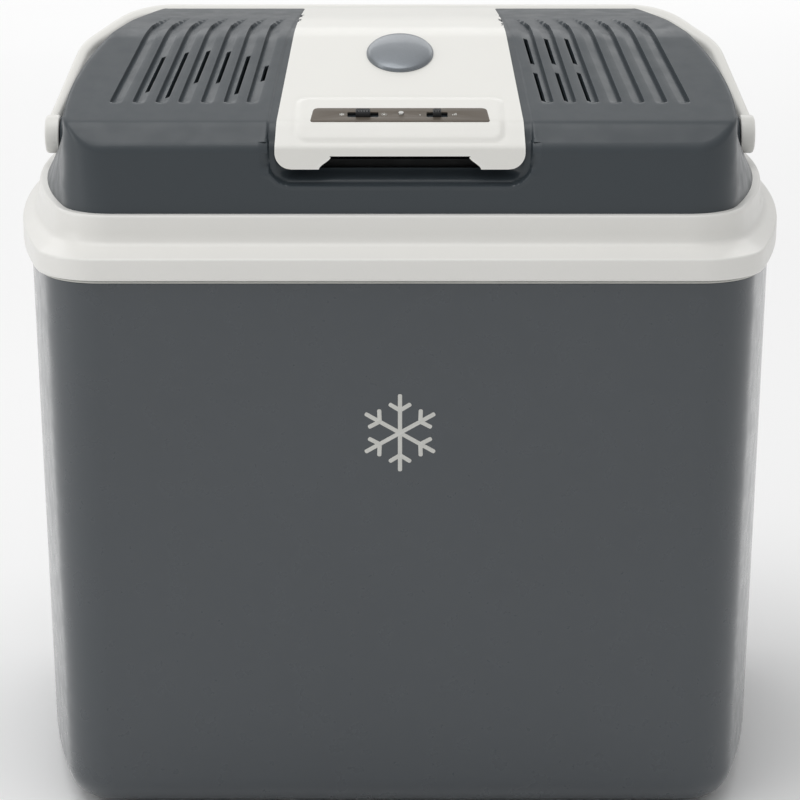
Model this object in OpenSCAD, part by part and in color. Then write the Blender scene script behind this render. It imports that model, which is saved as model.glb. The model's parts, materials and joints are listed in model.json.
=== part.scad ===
// Thermoelectric cool box: a tapered insulated tub with a hinged lid that carries the cooling unit,
// the controls and a folding bail handle. Millimetres, +Z up, front towards -Y,
// origin on the floor under the middle of the box.

/* [Lid frame outline] */
// Front edge of the lid frame
rim_front = -148; // [-150:0.5:-146]
// Back edge of the lid frame
rim_back = 142; // [140:0.5:144]
// Greatest half width of the lid frame
rim_half = 217.5; // [214:0.5:220]
// Depth at which the bowed sides are widest
rim_widest_y = 22; // [10:1:30]
// Radius of the bowed sides
rim_side_r = 520; // [480:10:600]
// Radius of the corners
rim_corner_r = 38; // [34:1:42]

/* [Heights] */
// Underside of the tub
base_z = 2; // [1.5:0.5:3]
// Top of the tub's dark shell
shell_top_z = 310; // [308:0.5:310]
// Lower edge of the lid frame
lid_z = 312; // [312:0.1:312.4]
// Top of the lid frame's skirt
skirt_top_z = 324; // [322:0.5:325]
// Inner edge of the lid frame's ledge
ledge_z = 328; // [327:0.5:329]
// Deck that the cover stands on
deck_z = 344; // [343:0.5:344]
// Crown of the cover
crown_z = 427.2; // [426:0.1:427.4]

/* [Tub] */
// Wall of the dark shell
shell_wall = 2.5; // [2:0.1:3]
// Inset of the shell from the lid frame at its top
shell_inset_top = 4.5; // [4:0.5:6]
// Inset of the shell from the lid frame at its foot
shell_inset_foot = 10; // [9:0.5:12]
// Rounding between the shell's sides and its underside
foot_round = 20; // [16:1:24]
// Thickness of the tub's walls at the top, shell and foam and liner together
tub_wall = 28; // [26:1:32]
// Inside floor of the tub
floor_z = 40; // [36:1:50]

/* [Cover] */
// Wall of the cover
cover_wall = 2.5; // [2:0.1:3]
// Angle of the sloped top
slope_angle = 18.1; // [17.9:0.1:18.3]
// Vent grooves on each side of the panel
vent_count = 7; // [5:1:7]
// Width of a vent slot
vent_slot_w = 2.6; // [2:0.1:3]

/* [Hinge] */
// Height of the hinge axis
hinge_z = 304; // [303.5:0.5:304.5]
// Radius of the knuckles
knuckle_r = 5; // [4.5:0.1:5]
// Radius of the hinge pins
hinge_pin_r = 2; // [1.5:0.1:2.2]

/* [Handle] */
// Depth of the handle's pivot
pivot_y = 7; // [5:0.5:8]
// Height of the handle's pivot
pivot_z = 362; // [361:0.5:363]
// Radius of the pivot bosses
boss_r = 11; // [10:0.5:11.5]
// Reach of the handle from its pivot to the middle of its grip
handle_reach = 127; // [125:1:128]
// Angle of the folded handle above level
handle_lean = 23.3; // [22.5:0.1:23.5]

/* [Cooling unit] */
// Side of the outer fan
hot_fan = 92; // [88:1:92]
// Side of the inner fan
cold_fan = 80; // [76:1:80]
// Middle of the cooling unit, front to back
unit_y = 12; // [10:1:14]
// Radial clearance of parts that turn on a pin
pin_clearance = 0.05; // [0.03:0.01:0.08]

/* [Hidden] */
$fn = 48;
corner_steps = 6;
side_steps = 8;
eps = 0.01;

// Outlines in plan: front, back, half width, widest depth, side radius, front and back corner radii
RIM = [rim_front, rim_back, rim_half, rim_widest_y, rim_side_r, rim_corner_r, rim_corner_r];
COVER_FOOT = [rim_front + 22.5, rim_back - 23, rim_half - 15, 7, 340, 30, 34];
COVER_HEAD = [rim_front + 28.5, rim_back - 38.5, rim_half - 25, -242, 880, 14, 30];
cover_head_z = deck_z + 85;

// Liner opening and the lid's plug
liner_in = tub_wall;
plug_in = tub_wall + 3;
liner_t = 2;
trim_top_z = shell_top_z + 1;
liner_foot_in = tub_wall + 10;

// Cover in side view
front_wall_y = COVER_FOOT[0];
front_top = [front_wall_y + 2.5, deck_z + 35.4];
slope_foot = [front_wall_y + 13.5, deck_z + 47];
crown_front_y = -10;
crown_run = 28;
crown_back_y = 62;
back_shoulder = [96, crown_z - 10];
back_top = [103, crown_z - 21];
back_foot_y = COVER_FOOT[1];

// Panel and front recess
panel_half_front = 66.5;
panel_half_back = 55;
panel_lift = 0.8;
plate_lift = 0.85;
panel_back_y = 84;
tab_z = deck_z + 24;
notch_z = deck_z + 31;
notch_half = 44;
recess_half = 71.6;
recess_z = deck_z + 15.5;
recess_h = 16.4;
cup_depth = 24;

// Switches on the slope
plate_half = 48.5;
plate_y = -105.5;
plate_w = 15.5;
plate_t = 0.8;
switch_x = 20;
mode_travel = 4;
eco_travel = 3;
knob_gap = 0.35;
mode_knob_w = 8;
eco_knob_w = 4.6;
knob_d = 4.6;
knob_foot = -11;
switch_d = 9.6;
knob_top = 4.2;
board_z = -16;

// Badge
badge_y = -37;
badge_half = [18.7, 22.5];

// Screws between the deck and the cover's posts
cover_posts = [[-168, -94], [168, -94], [-176, 78], [176, 78]];
post_screw_r = 1.6;

// Power inlets in the back of the cover
inlet_half = 34;
inlet_z = deck_z + 22;
inlet_h = 26;
inlet_tilt = atan2(back_foot_y - back_top[0], back_top[1] - deck_z);

// Hinge
hinge_y = rim_back + 1;
hinge_x = 118;
ear_t = 6;
knuckle_w = 30;
ear_gap = 0.5;
ear_x = knuckle_w / 2 + ear_gap;
wall_y = rim_back - shell_inset_top;
bracket_t = 3;
bracket_screw_r = 1.7;
knuckle_screw_r = 1.5;
foot_screw_r = 1.8;

// Handle
boss_in_x = 196.4;
boss_t = 8.2;
pad_gap = 0.4;
pad_t = 14;
arm_start_x = 201.4;
arm_angle = [9, 36];
arm_corner_r = [45, 38];
arm_link = 22;
arm_depth = 17;
grip_depth = 14;
arm_t = 6.5;
grip_t = 11;
pivot_pin_r = 5;
bail_steps = 5;

// Cooling unit, heights
cold_base_z = lid_z + 2;
spacer_z = lid_z + 7;
peltier_z = lid_z + 27;
hot_base_z = lid_z + 31;
hot_fan_z = lid_z + 66;
cold_fan_z = lid_z - 30;
grille_z = lid_z - 38;
grille_half = 58;
unit_hole = 108;
hot_base_t = 6;
sink_screw_x = 40;
sink_screw_r = 1.7;

// ---------- shared shapes ----------

// Half of a plan outline, from the front middle round the side to the back, d mm inside it
function half_outline(p, d) = let (
    rs = p[4] - d, rf = max(p[5] - d, 6), rb = max(p[6] - d, 6),
    cx = p[2] - d - rs, fy = p[0] + d + rf, by = p[1] - d - rb,
    fx = cx + sqrt(pow(rs - rf, 2) - pow(fy - p[3], 2)),
    bx = cx + sqrt(pow(rs - rb, 2) - pow(by - p[3], 2)),
    fa = atan2(fy - p[3], fx - cx), ba = atan2(by - p[3], bx - cx))
  concat(
    [for (i = [0:corner_steps]) let (a = -90 + (fa + 90) * i / corner_steps)
      [fx + rf * cos(a), fy + rf * sin(a)]],
    [for (i = [1:side_steps - 1]) let (a = fa + (ba - fa) * i / side_steps)
      [cx + rs * cos(a), p[3] + rs * sin(a)]],
    [for (i = [0:corner_steps]) let (a = ba + (90 - ba) * i / corner_steps)
      [bx + rb * cos(a), by + rb * sin(a)]]);

// The whole outline at height z
function ring(p, d, z) = let (h = half_outline(p, d)) concat(
  [for (q = h) [q[0], q[1], z]],
  [for (i = [len(h) - 1:-1:0]) [-h[i][0], h[i][1], z]]);

// Skin over rings of equal length; a loop joins the last ring to the first
module loft(rings, loop = false) {
  n = len(rings[0]);
  k = len(rings);
  sides = [for (j = [0:loop ? k - 1 : k - 2], i = [0:n - 1]) let (
      a = j * n + i, b = j * n + (i + 1) % n,
      c = ((j + 1) % k) * n + (i + 1) % n, d = ((j + 1) % k) * n + i)
    each [[a, c, b], [a, d, c]]];
  caps = loop ? [] : [[for (i = [0:n - 1]) i], [for (i = [n - 1:-1:0]) (k - 1) * n + i]];
  polyhedron([for (r = rings) each r], concat(sides, caps));
}

// A section of [inset, z] points carried round an outline
module band(p, section, loop = false) {
  loft([for (s = section) ring(p, s[0], s[1])], loop);
}

module box(size, at) {
  translate([at[0] - size[0] / 2, at[1] - size[1] / 2, at[2]]) cube(size);
}

module both_sides() {
  children();
  mirror([1, 0, 0]) children();
}

// Cylinder along X starting at x
module x_rod(r, x, y, z, length) {
  translate([x, y, z]) rotate([0, 90, 0]) cylinder(r = r, h = length);
}

// Pan-head screw pointing down, head on the given point
module screw(r, length) {
  translate([0, 0, -length]) cylinder(r = r, h = length + eps);
  cylinder(r1 = 2 * r, r2 = 1.5 * r, h = r);
}

// Height of the sloped top at depth y
function slope_z(y) = slope_foot[1] + (y - slope_foot[0]) * tan(slope_angle);

// Local frame on the slope: z along its normal
module on_slope(x, y, lift = 0) {
  translate([x, y, slope_z(y)]) rotate([slope_angle, 0, 0]) translate([0, 0, lift]) children();
}

// Half width of the control panel at depth y
function panel_half(y) = panel_half_front
  + (panel_half_back - panel_half_front) * (y - slope_foot[0]) / (crown_back_y - slope_foot[0]);

// ---------- tub ----------

// Inset of the shell's face at height z
function shell_in(z) = shell_inset_foot
  + (shell_inset_top - shell_inset_foot) * (z - base_z) / (shell_top_z - base_z);

// Points of the shell's rounded foot, t mm inside its face
function foot_arc(t) = [for (i = [0:4]) let (a = 90 - 22.5 * i, r = foot_round - t)
  [shell_in(base_z + foot_round) + t + r * (1 - cos(a)), base_z + t + r * (1 - sin(a))]];

module outer_shell() {
  color("#505a60") difference() {
    band(RIM, concat(
      foot_arc(0),
      [[shell_in(shell_top_z), shell_top_z], [shell_in(shell_top_z) + shell_wall, shell_top_z]],
      [for (i = [4:-1:0]) foot_arc(shell_wall)[i]]));
    at_feet() cylinder(r = foot_screw_r, h = base_z + shell_wall + 1);
    at_bracket_screws() translate([0, 0, -9]) cylinder(r = bracket_screw_r, h = 8);
  }
}

module rim_trim() {
  edge = shell_inset_top;
  color("#d4d4d0") band(RIM, [
    [edge - 0.6, shell_top_z], [edge - 0.6, trim_top_z - 0.4], [edge, trim_top_z],
    [liner_in - liner_t, trim_top_z], [liner_in - liner_t, shell_top_z - 8],
    [liner_in - 2 * liner_t, shell_top_z - 8], [liner_in - 2 * liner_t, shell_top_z]], true);
}

module inner_liner() {
  top = liner_in - liner_t + 0.05;
  foot = liner_foot_in - liner_t;
  color("#e6e7e4") band(RIM, [
    [foot + 12, floor_z - liner_t], [foot + 3, floor_z + 1], [foot, floor_z + 10],
    [top + 0.3, shell_top_z - 8], [top, trim_top_z], [liner_in + 0.05, trim_top_z],
    [liner_in + 0.4, shell_top_z - 8], [liner_foot_in, floor_z + 11],
    [liner_foot_in + 3, floor_z + 3], [liner_foot_in + 12, floor_z]]);
}

module foam_insulation() {
  gap = 0.4;
  out = shell_wall + gap;
  color("#e8dfb6") band(RIM, concat(
    [for (p = foot_arc(out)) p],
    [[shell_in(shell_top_z) + out, shell_top_z - gap],
     [liner_in - 2 * liner_t - gap, shell_top_z - gap],
     [liner_in - 2 * liner_t - gap, shell_top_z - 8.5],
     [liner_foot_in - liner_t - gap, floor_z + 10],
     [liner_foot_in - liner_t + 2, floor_z - 0.5],
     [liner_foot_in - liner_t + 12, floor_z - liner_t - gap]]));
}

module at_feet() {
  for (x = [-150, 150], y = [-98, 96]) translate([x, y, 0]) children();
}

module base_feet() {
  color("#26292b") at_feet() difference() {
    cylinder(r1 = 9, r2 = 10, h = base_z);
    translate([0, 0, -eps]) cylinder(r = 4.2, h = base_z / 2);
    cylinder(r = foot_screw_r, h = base_z + 1);
  }
}

module foot_screws() {
  head_h = 0.6;
  color("#a9adb0") at_feet() translate([0, 0, base_z / 2 - eps]) {
    cylinder(r = foot_screw_r, h = base_z / 2 + shell_wall);
    translate([0, 0, -head_h]) cylinder(r = 3.4, h = head_h);
  }
}

module at_hinges() {
  for (x = [-hinge_x, hinge_x]) translate([x, 0, 0]) children();
}

// Screws of the hinge brackets, pointing out of the back
module at_bracket_screws() {
  at_hinges() for (s = [-1, 1]) translate([s * 10, wall_y + bracket_t, hinge_z - 21]) rotate([-90, 0, 0]) children();
}

// Screws of the knuckles, pointing out of the back
module at_knuckle_screws() {
  at_hinges() for (s = [-1, 1]) translate([s * 8, hinge_y + 4, lid_z + 5]) rotate([-90, 0, 0]) children();
}

module hinge_brackets() {
  color("#505a60") at_hinges() difference() {
    union() {
      for (s = [-1, 1]) {
        x_rod(knuckle_r, s > 0 ? ear_x : -ear_x - ear_t, hinge_y, hinge_z, ear_t);
        translate([s > 0 ? ear_x : -ear_x - ear_t, wall_y, hinge_z - 22]) cube([ear_t, knuckle_r, 22]);
      }
      translate([-ear_x - ear_t, wall_y, hinge_z - 30]) cube([2 * (ear_x + ear_t), bracket_t, 20]);
    }
    x_rod(hinge_pin_r, -50, hinge_y, hinge_z, 100);
    for (s = [-1, 1]) translate([s * 10, wall_y - 1, hinge_z - 21]) rotate([-90, 0, 0])
      cylinder(r = bracket_screw_r, h = 10);
  }
}

module bracket_screws() {
  color("#a9adb0") at_bracket_screws() {
    translate([0, 0, -6]) cylinder(r = bracket_screw_r, h = 6);
    cylinder(r1 = 3.4, r2 = 2.4, h = 1.8);
  }
}

module hinge_pins() {
  color("#b4b8bb") at_hinges() x_rod(hinge_pin_r, -ear_x - ear_t, hinge_y, hinge_z, 2 * (ear_x + ear_t));
}

// ---------- lid ----------

module hinge_knuckles() {
  color("#e9e9e6") at_hinges() difference() {
    union() {
      x_rod(knuckle_r, -knuckle_w / 2, hinge_y, hinge_z, knuckle_w);
      translate([-knuckle_w / 2, rim_back, hinge_z]) cube([knuckle_w, hinge_y + 4 - rim_back, 15]);
    }
    x_rod(hinge_pin_r + pin_clearance, -50, hinge_y, hinge_z, 100);
    for (s = [-1, 1]) translate([s * 8, rim_back - 1, lid_z + 5]) rotate([-90, 0, 0])
      cylinder(r = knuckle_screw_r, h = 10);
  }
}

module knuckle_screws() {
  color("#a9adb0") at_knuckle_screws() {
    translate([0, 0, -7.3]) cylinder(r = knuckle_screw_r, h = 7.3);
    cylinder(r1 = 2.8, r2 = 2, h = 0.9);
  }
}

module lid_frame() {
  w = 2.5;
  color("#e9e9e6") difference() {
    loft([
      ring(COVER_FOOT, 12, deck_z - w), ring(COVER_FOOT, 0, deck_z - w), ring(COVER_FOOT, -1, deck_z - 4),
      ring(COVER_FOOT, -1.5, ledge_z + 1), ring(RIM, 14, ledge_z - w), ring(RIM, w, skirt_top_z - w),
      ring(RIM, w, lid_z), ring(RIM, 0.8, lid_z), ring(RIM, 0, lid_z + 1.2),
      ring(RIM, 0, skirt_top_z - 1), ring(RIM, 1, skirt_top_z), ring(COVER_FOOT, -6.5, ledge_z),
      ring(COVER_FOOT, -5, ledge_z + 3), ring(COVER_FOOT, -4.3, deck_z - 3),
      ring(COVER_FOOT, -3, deck_z - 1.2), ring(COVER_FOOT, 0, deck_z), ring(COVER_FOOT, 12, deck_z)]);
    box([138, 112, 30], [0, unit_y, deck_z - 10]);
    for (p = cover_posts) translate([p[0], p[1], deck_z - 10]) cylinder(r = post_screw_r, h = 20);
    at_knuckle_screws() translate([0, 0, -12]) cylinder(r = knuckle_screw_r, h = 12);
  }
}

module lid_liner() {
  t = 2;
  color("#eceeec") difference() {
    band(RIM, [
      [plug_in + 4, lid_z - 8], [plug_in + 0.6, lid_z - 6.5], [plug_in, lid_z + 0.2], [2.8, lid_z + 0.2],
      [2.8, lid_z + 2.2], [plug_in + t, lid_z + 2.2], [plug_in + t + 0.6, lid_z - 5.5],
      [plug_in + t + 3, lid_z - 6]]);
    box([unit_hole, unit_hole - 14, 30], [0, unit_y, lid_z - 20]);
  }
}

module lid_foam() {
  color("#e8dfb6") difference() {
    loft([
      ring(RIM, plug_in + 7, lid_z - 5.6), ring(RIM, plug_in + 3, lid_z + 2.5), ring(RIM, 3.2, lid_z + 2.5),
      ring(RIM, 3.2, skirt_top_z - 3.2), ring(RIM, 16, ledge_z - 3.2), ring(COVER_FOOT, 0, ledge_z + 1),
      ring(COVER_FOOT, 1, deck_z - 4.5), ring(COVER_FOOT, 6, deck_z - 3)]);
    box([unit_hole + 1, unit_hole - 13, 15.4], [0, unit_y, lid_z - 8]);
    box([44, 44, 60], [0, unit_y, lid_z - 8]);
    for (x = [-sink_screw_x, sink_screw_x]) translate([x, unit_y, lid_z]) cylinder(r = 2.4, h = 40);
    for (p = cover_posts) translate([p[0], p[1], deck_z - 5]) cylinder(r = 3.4, h = 5);
  }
}

module lid_gasket() {
  color("#3a3d40") band(RIM, [
    [16, trim_top_z + 0.25], [14, lid_z + 0.2], [23, lid_z + 0.2], [21, trim_top_z + 0.25]], true);
}

// Cover in side view, t mm inside its face
function roof(t) = let (
    nx = t * tan((90 - slope_angle) / 4))
  [[front_wall_y + t, deck_z - (t > 0 ? 2 : 0)],
   [front_top[0] + t, front_top[1] - 0.3 * t],
   [slope_foot[0] + nx, slope_foot[1] - t],
   [crown_front_y, slope_z(crown_front_y) - t],
   [crown_front_y + crown_run, crown_z - t],
   [crown_back_y, crown_z - t],
   [back_shoulder[0] - 0.4 * t, back_shoulder[1] - 0.9 * t],
   [back_top[0] - t, back_top[1] - 0.4 * t],
   [back_foot_y - t, deck_z - (t > 0 ? 2 : 0)]];

module side_prism(profile, half) {
  rotate([90, 0, 90]) translate([0, 0, -half]) linear_extrude(2 * half) polygon(profile);
}

module cover_solid(t) {
  intersection() {
    loft([ring(COVER_FOOT, t, deck_z - (t > 0 ? 1 : 0)), ring(COVER_HEAD, t, cover_head_z)]);
    side_prism(roof(t), 230);
  }
}

// Open slots as [groove, from, to]: depths along the groove, groove 0 next to the panel
slots_right = [for (i = [0:2], s = [[-88, -57], [-47, -18]]) [i, s[0], s[1]]];
slots_left = [[0, -66, -49], [1, -80, -38], [2, -68, -33], [3, -68, -32], [4, -84, -34], [5, -78, -39]];
vent_front_y = -88;
vent_back_y = 3;

// Middle line of groove i at depth y
function vent_x(i, y) = let (k = (y - vent_front_y) / (vent_back_y - vent_front_y))
  (78.2 + 12.4 * i) * (1 - k) + (68.5 + 11.3 * i) * k;

module vent_cuts(slots) {
  w = vent_slot_w / 2;
  for (s = slots) if (s[0] < vent_count) translate([0, 0, deck_z + 30]) linear_extrude(80) polygon([
    for (c = [[-w, s[1]], [w, s[1]], [w, s[2]], [-w, s[2]]]) [vent_x(s[0], c[1]) + c[0], c[1]]]);
}

module top_cover() {
  color("#63666a") difference() {
    union() {
      difference() {
        cover_solid(0);
        cover_solid(cover_wall);
      }
      for (p = cover_posts) intersection() {
        cover_solid(cover_wall / 2);
        translate([p[0], p[1], deck_z]) cylinder(r = 4.5, h = 80);
      }
      both_sides() x_rod(boss_r, boss_in_x - pad_t, pivot_y, pivot_z, pad_t - pad_gap);
    }
    both_sides() x_rod(boss_r + 1.2, boss_in_x - pad_gap, pivot_y, pivot_z, 40);
    both_sides() x_rod(pivot_pin_r, boss_in_x - 30, pivot_y, pivot_z, 60);
    for (p = cover_posts) translate([p[0], p[1], deck_z - 1]) cylinder(r = post_screw_r, h = 12);
    translate([-recess_half, front_wall_y - 5, recess_z]) cube([2 * recess_half, 12, recess_h]);
    on_slope(0, plate_y - 1) box([2 * plate_half - 8, plate_w - 3, 30], [0, 0, -15]);
    vent_cuts(slots_right);
    mirror([1, 0, 0]) vent_cuts(slots_left);
    translate([-inlet_half, back_foot_y - 20, inlet_z - inlet_h / 2]) cube([2 * inlet_half, 40, inlet_h]);
  }
}

module grip_cup() {
  w = 2;
  gap = 0.2;
  cup_front = 2.6;
  color("#17191a") difference() {
    translate([-recess_half + gap, front_wall_y + cup_front, recess_z + gap])
      cube([2 * (recess_half - gap), cup_depth - cup_front, recess_h - 2 * gap]);
    translate([-recess_half + gap + w, front_wall_y - w, recess_z + gap + w])
      cube([2 * (recess_half - gap - w), cup_depth, recess_h - 2 * (gap + w)]);
  }
}

// Control panel in side view, from lift a to lift b over the cover's face
function panel_side(a, b) = concat(
  panel_line(b), [for (i = [len(panel_line(a)) - 1:-1:0]) panel_line(a)[i]]);

function panel_line(a) = [
  [front_wall_y + 1.2 - a, tab_z],
  [front_top[0] - a, front_top[1] + 0.3 * a],
  [slope_foot[0] - 0.4 * a, slope_foot[1] + 0.9 * a],
  [crown_front_y - 0.2 * a, slope_z(crown_front_y) + a],
  [crown_front_y + crown_run, crown_z + a],
  [crown_back_y, crown_z + a],
  [panel_back_y, crown_z + a
    - (panel_back_y - crown_back_y) * (crown_z - back_shoulder[1]) / (back_shoulder[0] - crown_back_y)]];

module panel_prism(profile) {
  front = panel_half(front_wall_y);
  back = panel_half(panel_back_y);
  intersection() {
    side_prism(profile, 80);
    translate([0, 0, deck_z]) linear_extrude(120) polygon([
      [-front, front_wall_y - 5], [front, front_wall_y - 5], [back, panel_back_y + 3], [-back, panel_back_y + 3]]);
  }
}

module control_panel() {
  color("#e9e9e5") difference() {
    panel_prism(panel_side(0.05, panel_lift));
    translate([0, front_wall_y - 10, 0]) rotate([-90, 0, 0]) linear_extrude(20) polygon([
      [-notch_half, -tab_z + 2], [-notch_half + 9, -notch_z],
      [notch_half - 9, -notch_z], [notch_half, -tab_z + 2]]);
    on_slope(0, plate_y) box([2 * plate_half - 5, plate_w - 2, 20], [0, 0, -10]);
  }
}

// Slot that a switch knob slides in, on the plate
module knob_slot(x, w, travel, h) {
  on_slope(x, plate_y) box([w + 2 * travel + 2 * knob_gap, h, 20], [0, 0, -10]);
}

module switch_plate() {
  color("#5f554c") difference() {
    on_slope(0, plate_y) box([2 * plate_half, plate_w, plate_t], [0, 0, plate_lift]);
    knob_slot(-switch_x, mode_knob_w, mode_travel, knob_d + 2 * knob_gap);
    knob_slot(switch_x, eco_knob_w, eco_travel, knob_d + 2 * knob_gap);
    on_slope(0.6, plate_y + 1) cylinder(r = 1.5, h = 20, center = true);
  }
}

// Level of the badge's dome as [share of its half axes, height]
badge_dome = [[1, 0], [1, 1.2], [0.93, 2.4], [0.75, 3.3], [0.5, 3.9], [0.25, 4.2]];

module badge() {
  color("#8f9498") on_slope(0, badge_y, plate_lift) loft([for (k = badge_dome)
    [for (i = [0:31]) [badge_half[0] * k[0] * cos(i * 11.25), badge_half[1] * k[0] * sin(i * 11.25), k[1]]]]);
}

module led_lens() {
  color("#ededea") on_slope(0.6, plate_y + 1) translate([0, 0, -3]) {
    cylinder(r = 1.4, h = 5.2);
    cylinder(r = 2.2, h = 2);
  }
}

module control_board() {
  color("#2f6b3a") on_slope(0, plate_y) box([84, 24, 1.6], [0, 6.5, board_z]);
  color("#202224") on_slope(0, plate_y) for (x = [-30, 0, 32]) box([10, 8, 3], [x, 12, board_z + 1.59]);
}

module switch_body(x, w, travel) {
  color("#202224") on_slope(x, plate_y) difference() {
    box([w + 2 * travel + 6, switch_d, plate_lift - board_z - 1.6], [0, 0, board_z + 1.6]);
    box([w + 2 * travel + 2 * knob_gap, knob_d + 2 * knob_gap, 20], [0, 0, knob_foot - 0.4]);
  }
}

module mode_switch_body() {
  switch_body(-switch_x, mode_knob_w, mode_travel);
}

module eco_switch_body() {
  switch_body(switch_x, eco_knob_w, eco_travel);
}

module knob(x, w) {
  color("#141516") on_slope(x, plate_y) union() {
    box([w, knob_d, knob_top - knob_foot], [0, 0, knob_foot]);
    for (i = [-1:1]) box([0.7, knob_d, 0.6], [i * w * 0.3, 0, knob_top - 0.1]);
  }
}

module mode_knob() {
  knob(-switch_x, mode_knob_w);
}

module eco_knob() {
  knob(switch_x, eco_knob_w);
}

module cover_screws() {
  color("#a9adb0") for (p = cover_posts) translate([p[0], p[1], deck_z - 2.5]) mirror([0, 0, 1]) {
    translate([0, 0, -12]) cylinder(r = post_screw_r, h = 12);
    cylinder(r = 3, h = 1.4);
  }
}

// ---------- cooling unit in the lid ----------

module cold_sink() {
  color("#b9bec2") difference() {
    union() {
      box([100, 86, spacer_z - cold_base_z], [0, unit_y, cold_base_z]);
      for (i = [-8:8]) box([1.6, 86, 13], [i * 6, unit_y, cold_base_z - 12.99]);
    }
    for (x = [-sink_screw_x, sink_screw_x])
      translate([x, unit_y, spacer_z - 2]) cylinder(r = sink_screw_r, h = 5);
  }
}

module spacer_block() {
  color("#c3c7ca") box([40, 40, peltier_z - spacer_z], [0, unit_y, spacer_z]);
}

module peltier_module() {
  color("#f0f0ea") box([40, 40, hot_base_z - peltier_z], [0, unit_y, peltier_z]);
}

module hot_sink() {
  color("#b9bec2") difference() {
    union() {
      box([132, 100, hot_base_t], [0, unit_y, hot_base_z]);
      for (i = [-10:10]) box([1.6, 100, 28], [i * 5.8, unit_y, hot_base_z + hot_base_t - eps]);
    }
    for (x = [-sink_screw_x, sink_screw_x]) translate([x, unit_y, hot_base_z - 1]) {
      cylinder(r = sink_screw_r, h = 8);
      translate([0, 0, hot_base_t + 1]) cylinder(r = 4.2, h = 30);
    }
  }
}

module sink_screws() {
  foot = spacer_z - 2;
  top = hot_base_z + hot_base_t;
  color("#a9adb0") for (x = [-sink_screw_x, sink_screw_x]) translate([x, unit_y, foot]) {
    cylinder(r = sink_screw_r, h = top - foot);
    translate([0, 0, top - foot]) cylinder(r = 3.4, h = 2.5);
  }
}

// Square fan frame with a round duct and a spider that carries the motor base and shaft
module fan_frame(side, depth, z) {
  duct_r = side / 2 - 2;
  screw_x = side / 2 - 5;
  translate([0, unit_y, z]) {
    difference() {
      box([side, side, depth], [0, 0, 0]);
      translate([0, 0, -1]) cylinder(r = duct_r, h = depth + 2, $fn = 96);
      for (x = [-1, 1], y = [-1, 1]) translate([x * screw_x, y * screw_x, -1]) cylinder(r = 1.8, h = depth + 2);
    }
    for (a = [45:90:315]) rotate([0, 0, a]) translate([14, -1.5, 0.25]) cube([duct_r - 13.5, 3, 2]);
    cylinder(r = 16, h = 2.5);
    cylinder(r = 12, h = depth - 9);
    cylinder(r = 1.5, h = depth - 3);
  }
}

module fan_rotor(side, depth, z) {
  blade_r = side / 2 - 4;
  translate([0, unit_y, z + 3]) difference() {
    union() {
      cylinder(r = 16, h = depth - 4.5);
      intersection() {
        translate([0, 0, 0.5]) cylinder(r = blade_r, h = depth - 5.5, $fn = 96);
        for (i = [0:6]) rotate([0, 0, i * 360 / 7]) translate([14, 0, (depth - 4.5) / 2])
          rotate([48, 0, 0]) translate([0, -0.7, -25]) cube([blade_r, 1.4, 50]);
      }
    }
    translate([0, 0, -1]) cylinder(r = 14, h = depth - 5.5 - 4);
    translate([0, 0, -1]) cylinder(r = 1.5 + pin_clearance, h = depth);
  }
}

module hot_fan_frame() {
  color("#202224") fan_frame(hot_fan, 25, hot_fan_z);
}

module hot_fan_rotor() {
  color("#2b2d2f") fan_rotor(hot_fan, 25, hot_fan_z);
}

module cold_fan_frame() {
  color("#202224") fan_frame(cold_fan, 18, cold_fan_z);
}

module cold_fan_rotor() {
  color("#2b2d2f") fan_rotor(cold_fan, 18, cold_fan_z);
}

module fan_screws() {
  color("#a9adb0") {
    for (x = [-1, 1], y = [-1, 1]) translate([x * (hot_fan / 2 - 5), unit_y + y * (hot_fan / 2 - 5), hot_fan_z + 25])
      screw(1.7, 25.9);
    for (x = [-1, 1], y = [-1, 1]) translate([x * (cold_fan / 2 - 5), unit_y + y * (cold_fan / 2 - 5), cold_fan_z])
      mirror([0, 0, 1]) screw(1.7, 18.9);
  }
}

module cold_grille() {
  wall = 2;
  h = lid_z - 8 - grille_z;
  color("#eceeec") difference() {
    box([2 * grille_half, 2 * grille_half - 12, h], [0, unit_y, grille_z]);
    box([2 * (grille_half - wall), 2 * (grille_half - wall) - 12, h], [0, unit_y, grille_z + wall]);
    for (i = [-5:5]) box([4.5, 74, 10], [i * 8, unit_y, grille_z - 4]);
    for (i = [-3:3], s = [-1, 1]) box([12, 6, 12], [s * grille_half, unit_y + i * 12, grille_z + 8]);
  }
}

module power_board() {
  color("#2f6b3a") box([78, 90, 1.6], [-118, unit_y - 8, deck_z + 6]);
  color("#c9a227") box([34, 30, 26], [-128, unit_y - 28, deck_z + 7.59]);
  color("#202224") for (y = [6, 26]) translate([-104, unit_y + y, deck_z + 7.59]) cylinder(r = 7, h = 22);
  color("#202224") for (x = [-150, -86], y = [-46, 30])
    translate([x, unit_y + y, deck_z + 0.01]) cylinder(r = 3, h = 6);
}

module inlet_plate() {
  color("#202224") difference() {
    translate([-inlet_half - 2, back_foot_y - 7.3, inlet_z - inlet_h / 2 - 2])
      rotate([inlet_tilt, 0, 0]) cube([2 * inlet_half + 4, 2, inlet_h + 4]);
    for (c = [[-17, 17, 12], [17, 20, 13]])
      translate([c[0] - c[1] / 2, back_foot_y - 20, inlet_z - c[2] / 2]) cube([c[1], 40, c[2]]);
  }
}

module socket(x, w, h, pins) {
  y = back_foot_y - 26;
  difference() {
    translate([x - w / 2 + 0.1, y, inlet_z - h / 2 + 0.1]) cube([w - 0.2, 20, h - 0.2]);
    translate([x - w / 2 + 1.6, y + 4, inlet_z - h / 2 + 1.6]) cube([w - 3.2, 20, h - 3.2]);
  }
  for (s = [-1, 1]) translate([x + s * pins, y + 3.9, inlet_z]) rotate([-90, 0, 0]) cylinder(r = 1.1, h = 11);
}

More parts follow.
